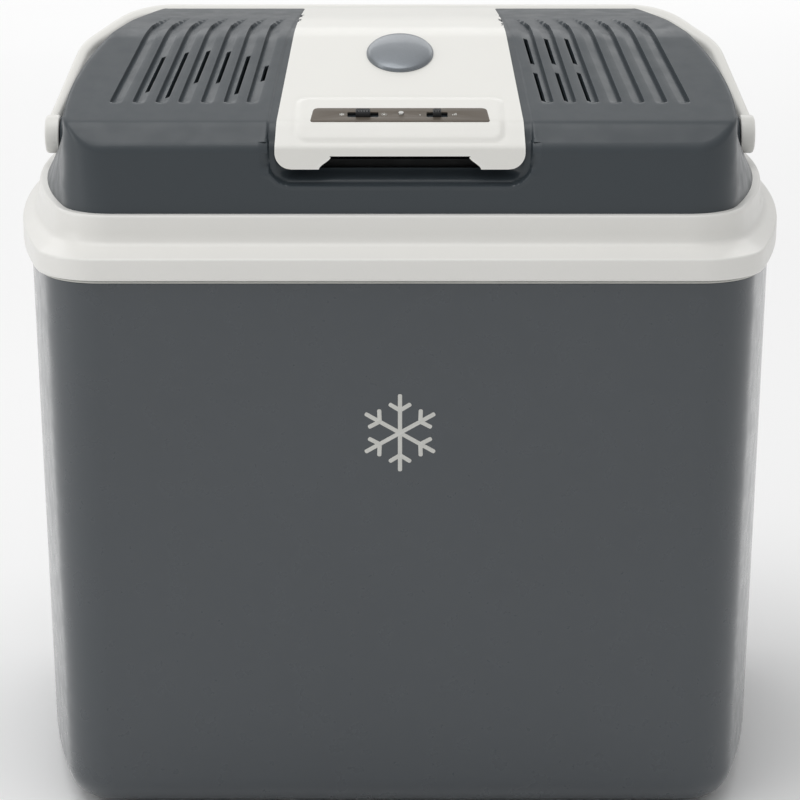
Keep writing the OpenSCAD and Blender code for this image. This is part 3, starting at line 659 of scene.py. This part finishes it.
def cover_edge(corner=14, side=190):
    """The line where the roof meets the side walls, with the foot point under each of its points."""
    foot = half_outline(COVER_FOOT, 0, corner, side)
    head = half_outline(COVER_HEAD, 0, corner, side)
    points = []
    for f, h in zip(foot, head):
        t = 0.5
        for _ in range(60):
            y = f[1] + (h[1] - f[1]) * t
            t = 0.5 * t + 0.5 * (roof_line(y) - DECK_Z) / HEAD_RISE
        x, y = f[0] + (h[0] - f[0]) * t, f[1] + (h[1] - f[1]) * t
        points.append((Vector((x, y, DECK_Z + HEAD_RISE * t)), Vector((f[0], f[1], DECK_Z))))
    return points


EDGE_R = 2.6
COVER_WALL = 2.2
SURROUND_X = 76


def roof_edge(edge):
    """Where the roof's own surface ends, a fillet's width inside each point of the edge line."""
    inner = []
    for k, (e, _) in enumerate(edge):
        along = edge[min(k + 1, len(edge) - 1)][0] - edge[max(k - 1, 0)][0]
        n = Vector((-along.y, along.x, 0)).normalized()
        r = min(EDGE_R, 0.42 * (e.z - DECK_Z) + 0.05)
        inner.append(Vector((e.x + n.x * r, max(e.y + n.y * r, ROOF[0][0] + 0.2), 0)))
    for before, point in zip(inner, inner[1:]):
        point.y = max(point.y, before.y + 0.02)
    return inner


def roof_row(y, limit):
    """The x of one row's columns, both sides, and how much they are drawn in to stay inside the edge."""
    xs = column_lines(y)
    s = min(1, (limit - 3) / xs[-1])
    xs = [x * s for x in xs]
    last = xs[-1]
    xs += [last + (limit - last) * q for q in SIDE_COLUMNS]
    return [-x for x in reversed(xs[1:])] + xs, s


def roof_point(x, y, s):
    groove = 0
    if abs(x) >= channel_x(y) * s + 1.5:
        groove = max(groove_depth(i, abs(x) / s, y) for i in range(GROOVES))
    p = Vector((x, y, roof_z(y) - groove))
    return p + surround(x, y, p.z) if abs(x) < SURROUND_X and y < ROOF[5][0] else p


def in_slot(x, y):
    slots = SLOTS[1 if x >= 0 else -1]
    return any(a < y < b and abs(abs(x) - vent_x(i, y)) < SLOT_HALF for i, a, b in slots)


def in_finger_opening(p):
    return p.y < FRONT_Y + 16 and abs(p.x) < 59 and DECK_Z + 22.5 < p.z < DECK_Z + 32


def wall_line(a, e, f, levels=(0.25, 0.5, 0.75, 1), drops=42):
    """Points from roof point a round the edge at e and down to foot f."""
    fall = e.z - DECK_Z
    r = min(EDGE_R, 0.42 * fall)
    b = e + (f - e) * (r / fall if fall > 0.01 else 0)
    line = [a.lerp(e, t).lerp(e.lerp(b, t), t) for t in levels]
    line += [b.lerp(f, (j + 1) / drops) for j in range(drops)]
    return [
        p + surround(p.x, p.y, p.z) if p.y < FRONT_Y + 20 and abs(p.x) < SURROUND_X else p for p in line
    ]


def top_cover():
    """Shell with a grooved, bent roof, ruled side walls, soft edges and a surround for the panel."""
    edge = cover_edge()
    inner = roof_edge(edge)
    rows = len(inner)
    verts, row_xs = [], []
    for point in inner:
        xs, s = roof_row(point.y, point.x)
        row_xs.append(xs)
        verts += [roof_point(x, point.y, s) for x in xs]
    width = len(row_xs[0])

    def closed(k, c):
        x = (row_xs[k][c] + row_xs[k][c + 1]) / 2
        return not in_slot(x, (inner[k].y + inner[min(k + 1, rows - 1)].y) / 2)

    faces = grid_faces(rows, width, closed)

    # Round the roof: its own point's index, then the edge and foot points outside it
    loop = []

    def end_row(k, c):
        share = row_xs[k][c] / inner[k].x
        e, f = edge[k]
        loop.append((k * width + c, Vector((e.x * share, e.y, e.z)), Vector((f.x * share, f.y, DECK_Z))))

    for c in range(width):
        end_row(0, c)
    for k in range(1, rows - 1):
        loop.append((k * width + width - 1, edge[k][0], edge[k][1]))
    for c in reversed(range(width)):
        end_row(rows - 1, c)
    for k in range(rows - 2, 0, -1):
        e, f = edge[k]
        loop.append((k * width, Vector((-e.x, e.y, e.z)), Vector((-f.x, f.y, f.z))))

    start = len(verts)
    for top, e, f in loop:
        y = inner[top // width].y
        verts += wall_line(Vector((verts[top][0], y, roof_z(y))), e, f)
    steps = (len(verts) - start) // len(loop)
    for i, (top, _, _) in enumerate(loop):
        j = (i + 1) % len(loop)
        here, there = start + i * steps, start + j * steps
        faces.append((top, loop[j][0], there, here))
        for q in range(steps - 1):
            if not in_finger_opening((verts[here + q] + verts[there + q + 1]) / 2):
                faces.append((here + q, there + q, there + q + 1, here + q + 1))
    obj = new_object("vented_cover", verts, faces, sheet=True)
    shell = obj.modifiers.new("wall", "SOLIDIFY")
    shell.thickness = COVER_WALL * MM
    shell.offset = -1
    bake_modifiers(obj)
    return obj


def cutter_box(lo, hi):
    verts = [(x, y, z) for x in (lo[0], hi[0]) for y in (lo[1], hi[1]) for z in (lo[2], hi[2])]
    quads = [(0, 1, 3, 2), (4, 6, 7, 5), (0, 4, 5, 1), (2, 3, 7, 6), (0, 2, 6, 4), (1, 5, 7, 3)]
    return new_object("cutter", verts, quads, smooth=False)


def disc_stack(stations, sides=64):
    """Rings of a turned piece on the handle's axis: stations are (x, radius)."""
    angles = [2 * math.pi * i / sides for i in range(sides)]
    return [
        [Vector((x, PIVOT.y + r * math.cos(a), PIVOT.z + r * math.sin(a))) for a in angles]
        for x, r in stations
    ]


def join(name, objects):
    """Joins several meshes into one object."""
    bm = bmesh.new()
    for o in objects:
        bm.from_mesh(o.data)
    mesh = bpy.data.meshes.new(name)
    bm.to_mesh(mesh)
    bm.free()
    for o in objects:
        bpy.data.objects.remove(o)
    obj = bpy.data.objects.new(name, mesh)
    bpy.context.scene.collection.objects.link(obj)
    mesh.shade_smooth()
    mesh.set_sharp_from_angle(angle=math.radians(35))
    return obj


def mirrored(rings):
    return [[Vector((-p.x, p.y, p.z)) for p in r] for r in rings]


def pivot_pads():
    """Round pads of the cover that the handle's bosses turn on."""
    back, face, bore = 184, BOSS_IN - 0.5, 5.3
    rings = disc_stack([
        (back, BOSS_R - 0.4), (face - 1, BOSS_R - 0.2), (face - 0.2, BOSS_R - 1), (face, BOSS_R - 2.4),
        (face, bore), (back, bore),
    ])
    return join("pivot_pads", [skin("a", rings, loop=True), skin("b", mirrored(rings), loop=True)])


def cover_cuts(cover):
    """Pockets for the handle's bosses and the window for the inlets."""
    pocket = disc_stack([(BOSS_IN - 0.5, BOSS_R + 1.2), (BOSS_IN + 20, BOSS_R + 1.2)])
    for rings in (pocket, mirrored(pocket)):
        cut(cover, skin("cutter", rings))
    lo, hi = box_mm("inlet_plate")
    cut(cover, cutter_box((lo.x + 2, lo.y - 8, lo.z + 2), (hi.x - 2, hi.y + 14, hi.z - 2)))


def grip_cup():
    """Dark cup behind the scoop that the fingers hook into, open at the front."""
    back = box_mm("grip_cup")[1].y
    low, high, half = DECK_Z + 18.5, DECK_Z + 33.5, 61
    mid = (low + high) / 2

    def section(y, inset, slant):
        points = rounded_rect(half - inset, (high - low) / 2 - inset, 4, y, mid)
        return [p + Vector((0, slant * smoothstep(high, low, p.z), 0)) for p in points]

    front = FRONT_Y + 5.2
    outer = [(back, 4, 0), (back - 1.5, 1.2, 0), (back - 5, 0, 0), (front, 0, 7)]
    inner = [(front, 1, 7), (back - 6, 1, 0), (back - 2.6, 2.2, 0), (back - 1.2, 4, 0)]
    return skin("finger_cup", [section(*values) for values in outer + inner])


def rounded_rect(half, high, r, y, z, steps=6):
    """Rounded rectangle across the depth axis."""
    points = []
    for q, (sx, sz) in enumerate(((1, 1), (-1, 1), (-1, -1), (1, -1))):
        corner = Vector((sx * (half - r), y, z + sz * (high - r)))
        for i in range(steps + 1):
            a = math.pi / 2 * (q + i / steps)
            points.append(corner + Vector((r * math.cos(a), 0, r * math.sin(a))))
    return points


# ---------- control panel ----------


def panel_path():
    """The panel's side view from its back edge down to its tabs."""
    back, tab = PANEL_HI.y, DECK_Z + 24
    points = [(y, roof_z(y)) for y in frange(back, ROOF[1][0], -1.4)]
    points += [(y, roof_z(y)) for y in frange(ROOF[1][0], ROOF[0][0] + 0.3, -1.1)]
    z = ROOF[0][1]
    points += [(FRONT_Y + 2.5 - 2.0 * (z - v) / 35.4, v) for v in frange(z - 0.4, tab, -0.35)]
    return points


def frange(a, b, step):
    n = max(1, round((b - a) / step))
    return [a + (b - a) * i / n for i in range(n + 1)]


def control_panel():
    """Cap over the cover's middle: soft raised field round the switches, rounded tabs and a notch."""
    path = panel_path()
    rows = len(path)
    along = [0]
    for a, b in zip(path, path[1:]):
        along.append(along[-1] - math.dist(a, b))
    crease = min(range(rows), key=lambda k: abs(path[k][0] - ROOF[1][0]))
    tab, notch = DECK_Z + 24, DECK_Z + 31
    cols = 97
    corner = 9
    verts, cells = [], []
    for k, (y, z) in enumerate(path):
        a, b = path[max(k - 1, 0)], path[min(k + 1, rows - 1)]
        tangent = Vector((0, b[0] - a[0], b[1] - a[1])).normalized()
        normal = Vector((0, tangent.z, -tangent.y))
        if normal.z < 0 and y > FRONT_Y + 4 or normal.y > 0 and y <= FRONT_Y + 4:
            normal = -normal
        half = panel_half(y)
        if y < FRONT_Y + 5 and z < tab + corner:
            h = corner - (z - tab)
            half -= corner - math.sqrt(max(corner ** 2 - h ** 2, 0))
        if y > PANEL_HI.y - 5:
            h = 5 - (PANEL_HI.y - y)
            half -= 5 - math.sqrt(max(25 - h ** 2, 0))
        for c in range(cols):
            u = -1 + 2 * c / (cols - 1)
            x = u * half
            lift = 0.12 + field_lift(x, y, along[k] - along[crease])
            p = Vector((x, y, z)) + normal * lift
            verts.append(p)
            cells.append((x, y, z))

    def keep(k, c):
        quad = [cells[(k + i) * cols + c + j] for i in (0, 1) for j in (0, 1)]
        x = abs(sum(q[0] for q in quad)) / 4
        y = sum(q[1] for q in quad) / 4
        z = sum(q[2] for q in quad) / 4
        if y < FRONT_Y + 5 and z < notch and x < notch_half(z):
            return False
        return not (x < 44.5 and abs(y - PLATE_Y) < 5.6)

    obj = new_object("control_fascia", verts, grid_faces(rows, cols, keep), sharp=60, sheet=True)
    soften_notch(obj, notch)
    solid = obj.modifiers.new("wall", "SOLIDIFY")
    solid.thickness = 0.62 * MM
    solid.offset = 1
    bake_modifiers(obj, 60)
    return obj


def notch_half(z):
    """Half width of the notch at height z: an S between the tabs and the notch's top edge."""
    tab, notch = DECK_Z + 24, DECK_Z + 31
    t = min(1, max(0, (z - tab) / (notch - tab)))
    return 43.5 - 6.5 * smoothstep(0, 1, t)


def soften_notch(obj, notch):
    """Slides the notch's stepped edge onto its true S-shaped outline."""
    bm = bmesh.new()
    bm.from_mesh(obj.data)
    for v in bm.verts:
        p = v.co / MM
        if p.y < FRONT_Y + 5 and v.is_boundary and abs(p.x) < 50:
            if p.z < notch - 0.3:
                v.co.x = math.copysign(notch_half(p.z), p.x) * MM
    bm.to_mesh(obj.data)
    bm.free()


def field_lift(x, y, along):
    """Height of the raised field round the switches, and of the embossed line near the back."""
    corner, half, back, front = 5, 55, 26, -11
    dx, dy = abs(x) - (half - corner), abs(along - (back + front) / 2) - ((back - front) / 2 - corner)
    out = (math.hypot(max(dx, 0), max(dy, 0)) if max(dx, dy) > 0 else max(dx, dy)) - corner
    field = 0.6 * smoothstep(0.9, -0.9, out)
    line = 0.22 * math.exp(-(((out - 1.6) / 0.9) ** 2))
    rim = abs(x) - (panel_half(y) - 8)
    seam = 0.16 * math.exp(-(((y - 70) / 0.8) ** 2)) * smoothstep(1, -1, rim)
    return field - line - seam


# ---------- switches, badge, lens ----------


def on_slope(x, y, lift=0.0):
    """Frame on the slope: Z along its normal."""
    z = ROOF[1][1] + (y - ROOF[1][0]) * math.tan(SLOPE)
    turn = Matrix.Rotation(SLOPE, 4, "X")
    return Matrix.Translation((x, y, z)) @ turn @ Matrix.Translation((0, 0, lift))


def move_mm(obj, matrix):
    """Moves a mesh made round the origin, in millimetres, to its place."""
    scale = Matrix.Diagonal((MM, MM, MM, 1))
    obj.data.transform(scale @ matrix @ scale.inverted())


def flat_piece(name, outlines, height, rounding=0.15):
    """A flat piece from outlines in plan; inner outlines become holes. Its edges are rounded."""
    curve = bpy.data.curves.new(name, "CURVE")
    curve.dimensions = "2D"
    curve.fill_mode = "BOTH"
    curve.extrude = (height / 2 - rounding) * MM
    curve.bevel_depth = rounding * MM
    curve.bevel_resolution = 2
    curve.offset = -rounding * MM
    for outline in outlines:
        spline = curve.splines.new("POLY")
        spline.points.add(len(outline) - 1)
        for point, (x, y) in zip(spline.points, outline):
            point.co = (x * MM, y * MM, 0, 1)
        spline.use_cyclic_u = True
    source = bpy.data.objects.new(name + "_curve", curve)
    bpy.context.scene.collection.objects.link(source)
    graph = bpy.context.evaluated_depsgraph_get()
    graph.update()
    mesh = bpy.data.meshes.new_from_object(source.evaluated_get(graph))
    bpy.data.objects.remove(source)
    bm = bmesh.new()
    bm.from_mesh(mesh)
    bmesh.ops.remove_doubles(bm, verts=bm.verts, dist=0.001 * MM)
    bmesh.ops.translate(bm, verts=bm.verts, vec=(0, 0, height / 2 * MM))
    bmesh.ops.recalc_face_normals(bm, faces=bm.faces)
    bm.to_mesh(mesh)
    bm.free()
    mesh.name = name
    obj = bpy.data.objects.new(name, mesh)
    bpy.context.scene.collection.objects.link(obj)
    mesh.shade_smooth()
    mesh.set_sharp_from_angle(angle=math.radians(35))
    return obj


def rounded(points, radii, steps=6):
    """Rounds the corners of a closed outline."""
    out = []
    n = len(points)
    for k, (p, r) in enumerate(zip(points, radii)):
        p = Vector(p)
        a, b = Vector(points[k - 1]), Vector(points[(k + 1) % n])
        start, end = p + (a - p).normalized() * r, p + (b - p).normalized() * r
        for s in range(steps + 1):
            t = s / steps
            q = start.lerp(p, t).lerp(p.lerp(end, t), t)
            out.append((q.x, q.y))
    return out


def rectangle(cx, cy, w, h, r):
    corners = [(cx + sx * w / 2, cy + sy * h / 2) for sx, sy in ((-1, -1), (1, -1), (1, 1), (-1, 1))]
    return rounded(corners, [r] * 4)


def circle(cx, cy, r, sides=28):
    angles = [2 * math.pi * i / sides for i in range(sides)]
    return [(cx + r * math.cos(a), cy + r * math.sin(a)) for a in angles]


def switch_plate():
    outline = rounded([(-48.4, -7.4), (48.4, -7.4), (46.8, 7.4), (-46.8, 7.4)], [1.6, 1.6, 3.2, 3.2])
    slots = [rectangle(x, 0, length, 5.4, 0.8) for x, length in ((-SWITCH_X, 16.7), (SWITCH_X, 11.3))]
    obj = flat_piece("switch_plate_face", [outline] + slots + [circle(0.6, 1, 1.5)], 0.8, 0.2)
    move_mm(obj, on_slope(0, PLATE_Y, 0.65))
    return obj


def bar(x, y, w, h, angle=0.0):
    """Small rounded bar as an outline, turned about its own middle."""
    c, s = math.cos(angle), math.sin(angle)
    return [(x + u * c - v * s, y + u * s + v * c) for u, v in rectangle(0, 0, w, h, min(w, h) * 0.45)]


def snowflake(x, y, r, w):
    """Generic six-armed snow crystal, as bars."""
    bars = [bar(x, y, 2 * r, w, math.radians(60 * k + 90)) for k in range(3)]
    for k in range(6):
        a = math.radians(60 * k + 90)
        for turn in (-1, 1):
            b = a + turn * math.radians(58)
            cx, cy = x + 0.58 * r * math.cos(a), y + 0.58 * r * math.sin(a)
            half = 0.16 * r
            bars.append(bar(cx + half * math.cos(b), cy + half * math.sin(b), 2 * half, w, b))
    return bars


def marks(name, outlines, height, matrix):
    """Printed marks: each outline is a thin raised film of its own."""
    pieces = [flat_piece("m", [o], height * (1 + 0.04 * k), height * 0.3) for k, o in enumerate(outlines)]
    obj = join(name, pieces)
    move_mm(obj, matrix)
    return obj


def switch_marks():
    """Generic signs beside the slots: cold, off, warm; low, off, high."""
    out = snowflake(-SWITCH_X - 11.4, 0, 1.5, 0.3)
    out += [bar(-SWITCH_X + 11.4, 0, 1.2, 1.2)]
    out += [bar(-SWITCH_X + 11.4 + 1.35 * math.cos(a), 1.35 * math.sin(a), 0.7, 0.26, a)
            for a in (math.radians(45 * k) for k in range(8))]
    for x in (-SWITCH_X, SWITCH_X):
        out.append(bar(x, 4.9, 2.4, 0.34))
    out.append(bar(SWITCH_X - 9.2, -0.6, 0.5, 1.0))
    out += [bar(SWITCH_X + 8.4 + 0.9 * k, -0.6 + 0.35 * k, 0.5, 1.0 + 0.7 * k) for k in range(3)]
    return marks("switch_marks", out, 0.08, on_slope(0, PLATE_Y, 1.43))


def front_mark():
    """Generic snow crystal printed on the tub's front, following its taper."""
    lean = math.atan2(SHELL_INSET_FOOT - SHELL_INSET_TOP, SHELL_TOP - BASE_Z)
    z = SHELL_TOP - 84
    y = RIM[0] + shell_in(z) - 0.02
    turn = Matrix.Translation((0, y, z)) @ Matrix.Rotation(math.pi / 2 + lean, 4, "X")
    return marks("snow_mark", snowflake(0, 0, 22, 2.3), 0.12, turn)


def badge():
    """Domed oval badge in a thin stepped surround; its face is blank."""
    a, b = 18.7, 22.5
    levels = [(1, 0), (1, 0.5), (0.975, 0.52), (0.972, 0.9)]
    quarter = [math.pi / 2 * i / 16 for i in range(16)]
    levels += [(0.96 * math.cos(t), 1.2 + 2.8 * math.sin(t)) for t in quarter]
    turn = [2 * math.pi * i / 72 for i in range(72)]
    rings = [[Vector((a * k * math.cos(t), b * k * math.sin(t), h)) for t in turn] for k, h in levels]
    obj = skin("badge_dome", rings)
    move_mm(obj, on_slope(0, -37, PANEL_LIFT + 0.05))
    return obj


def knob(name, x, w):
    """Slide knob with a dished, ribbed top."""
    d, foot, top = 4.6, -11, 4.1
    rings = []
    for z, inset in ((foot, 0), (top - 1.0, 0), (top - 0.35, 0.12), (top, 0.5), (top - 0.1, 0.8)):
        rings.append([Vector((px, py, z)) for px, py in rectangle(0, 0, w - 2 * inset, d - 2 * inset, 0.5)])
    body = skin(name, rings)
    count = 5 if w > 6 else 3
    ribs = []
    for i in range(count):
        at = (i - (count - 1) / 2) * (w - 2.2) / (count - 1)
        rib = flat_piece("rib", [rectangle(at, 0, 0.55, d - 1.6, 0.25)], 0.55, 0.12)
        rib.data.transform(Matrix.Translation((0, 0, (top - 0.1) * MM)))
        ribs.append(rib)
    obj = join(name, [body] + ribs)
    move_mm(obj, on_slope(x, PLATE_Y))
    return obj


# ---------- handle ----------


def bail_line():
    """Middle line of the bail in its own plane, right half: (point, direction, share to the grip)."""
    reach, link = 127, 22
    a0, a1, a2 = math.radians(9), math.radians(36), math.radians(90)
    r1, r2 = 45, 38
    bends = r1 * (math.sin(a1) - math.sin(a0)) + r2 * (1 - math.sin(a1))
    length = (reach - bends - link * math.cos(a1)) / math.cos(a0)
    p = Vector((201.4, 0))
    arm = Vector((-math.sin(a0), math.cos(a0)))
    out = [(p + arm * length * t, a0, 0.3 * t) for t in (0, 0.08, 0.2, 0.4, 0.6, 0.8)]
    p = p + arm * length

    def bend(p, a, b, r, share, span, steps):
        for i in range(steps + 1):
            t = a + (b - a) * i / steps
            at = p + Vector((-r * (math.cos(a) - math.cos(t)), r * (math.sin(t) - math.sin(a))))
            out.append((at, t, share + span * i / steps))
        return out[-1][0]

    p = bend(p, a0, a1, r1, 0.3, 0.3, 12)
    p = p + Vector((-math.sin(a1), math.cos(a1))) * link
    p = bend(p, a1, a2, r2, 0.7, 0.3, 18)
    out += [(Vector((p.x * t, p.y)), a2, 1) for t in (0.8, 0.5, 0.2)]
    return out


def handle():
    """Bail with a rounded section, thicker at its grip, and hubs with a stepped face."""
    half = bail_line()
    stations = half + [(Vector((-p.x, p.y)), math.pi - a, s) for p, a, s in reversed(half)]
    lean = math.radians(23.3)
    turn = Matrix.Translation(PIVOT) @ Matrix.Rotation(lean, 4, "X")
    rings = []
    for p, a, share in stations:
        t, h = 6.5 + 4.5 * share, 17 - 3 * share
        section = []
        for i in range(28):
            q = 2 * math.pi * i / 28
            cq, sq = math.cos(q), math.sin(q)
            u = math.copysign(abs(cq) ** 0.55, cq) * t / 2
            v = math.copysign(abs(sq) ** 0.55, sq) * h / 2
            section.append(turn @ Vector((p.x + u * math.cos(a), p.y + u * math.sin(a), v)))
        rings.append(section)
    bail = skin("bail", rings)
    x0, x1 = BOSS_IN, BOSS_IN + BOSS_T
    hub = disc_stack([
        (x0, 5.2), (x0, BOSS_R - 0.5), (x0 + 0.5, BOSS_R), (x1 - 1.6, BOSS_R), (x1 - 0.5, BOSS_R - 0.5),
        (x1, BOSS_R - 1.7), (x1, 7.4), (x1 - 0.7, 7.1), (x1 - 0.7, 5.4), (x1 - 1.4, 5.2),
    ])
    return join("carry_handle", [bail, skin("h", hub, loop=True), skin("h", mirrored(hub), loop=True)])


def pivot_caps():
    """Pins through the hubs, each with a collar inside and a dished cap."""
    x1 = BOSS_IN + BOSS_T
    rings = disc_stack([
        (x1 - 24, 8), (x1 - 22.2, 8), (x1 - 22.2, 5), (x1 - 2.0, 5), (x1 - 1.3, 4.7),
        (x1 - 0.9, 3.6), (x1 - 0.8, 2.2), (x1 - 1.2, 2.0), (x1 - 1.3, 0.4),
    ])
    return join("pivot_caps", [skin("p", rings), skin("p", mirrored(rings))])


# ---------- scene ----------


def build():
    cover = top_cover()
    cover_cuts(cover)
    jobs = [
        (outer_shell(), "tub", "shell", "outer_shell"),
        (rim_trim(), "tub", "trim_light", "rim_trim"),
        (inner_liner(), "tub", "liner_white", "inner_liner"),
        (front_mark(), "tub", "trim_light"),
        (lid_frame(), "lid", "frame_white", "lid_frame"),
        (cover, "lid", "cover_grey", "top_cover"),
        (pivot_pads(), "lid", "cover_grey"),
        (grip_cup(), "lid", "cup_black", "grip_cup"),
        (control_panel(), "lid", "panel_white", "control_panel"),
        (switch_plate(), "lid", "plate_bronze", "switch_plate"),
        (switch_marks(), "lid", "trim_light"),
        (badge(), "lid", "badge_silver", "badge"),
        (knob("mode_slide_knob", -SWITCH_X, 8), "mode_knob", "knob_black", "mode_knob"),
        (knob("eco_slide_knob", SWITCH_X, 4.6), "eco_knob", "knob_black", "eco_knob"),
        (handle(), "handle", "handle_white", "handle"),
        (pivot_caps(), "lid", "pivot_plastic", "handle_pivots"),
    ]
    for obj, body, slot, *nodes in jobs:
        place(obj, body, slot, MATERIALS[slot], *nodes)
    dress_cad_nodes()


def floor():
    mesh = bpy.data.meshes.new("studio_floor")
    size = 14
    corners = [(-size, -size, 0), (size, -size, 0), (size, size, 0), (-size, size, 0)]
    mesh.from_pydata(corners, [], [(0, 1, 2, 3)])
    obj = bpy.data.objects.new("studio_floor", mesh)
    bpy.context.scene.collection.objects.link(obj)
    s = Shader("studio_floor", Roughness=0.7)
    s.colour(s.mix(s.noise(1.5, 2), (0.93, 0.93, 0.93, 1), (0.96, 0.96, 0.96, 1)))
    mesh.materials.append(s.material)


def area_light(name, at, aim, size, power):
    data = bpy.data.lights.new(name, "AREA")
    data.shape = "RECTANGLE"
    data.size, data.size_y = size
    data.energy = power
    obj = bpy.data.objects.new(name, data)
    obj.location = at
    obj.rotation_euler = (Vector(aim) - Vector(at)).to_track_quat("-Z", "Y").to_euler()
    bpy.context.scene.collection.objects.link(obj)


def studio():
    world = bpy.data.worlds.new("studio")
    world.use_nodes = True
    world.node_tree.nodes["Background"].inputs["Color"].default_value = (1, 1, 1, 1)
    world.node_tree.nodes["Background"].inputs["Strength"].default_value = 0.56
    bpy.context.scene.world = world
    target = (0, 0, 0.25)
    area_light("key", (-0.5, -0.3, 2.6), target, (2.0, 2.0), 25)
    area_light("left", (-2.2, -0.6, 1.0), target, (0.8, 1.6), 7)
    area_light("backdrop", (0, 3.6, 2.6), (0, 3.7, 0), (6, 2.4), 60)
    bpy.context.scene.view_settings.view_transform = "Standard"
    bpy.context.scene.view_settings.look = "None"


def camera():
    data = bpy.data.cameras.new("camera")
    data.lens = 135
    data.sensor_width = 36
    data.clip_end = 60
    obj = bpy.data.objects.new("camera", data)
    obj.location = (0, -1.7045, (DECK_Z + 348.6) * MM)
    obj.rotation_euler = (math.radians(74), 0, 0)
    bpy.context.scene.collection.objects.link(obj)
    bpy.context.scene.camera = obj


camera()
build()
floor()
studio()
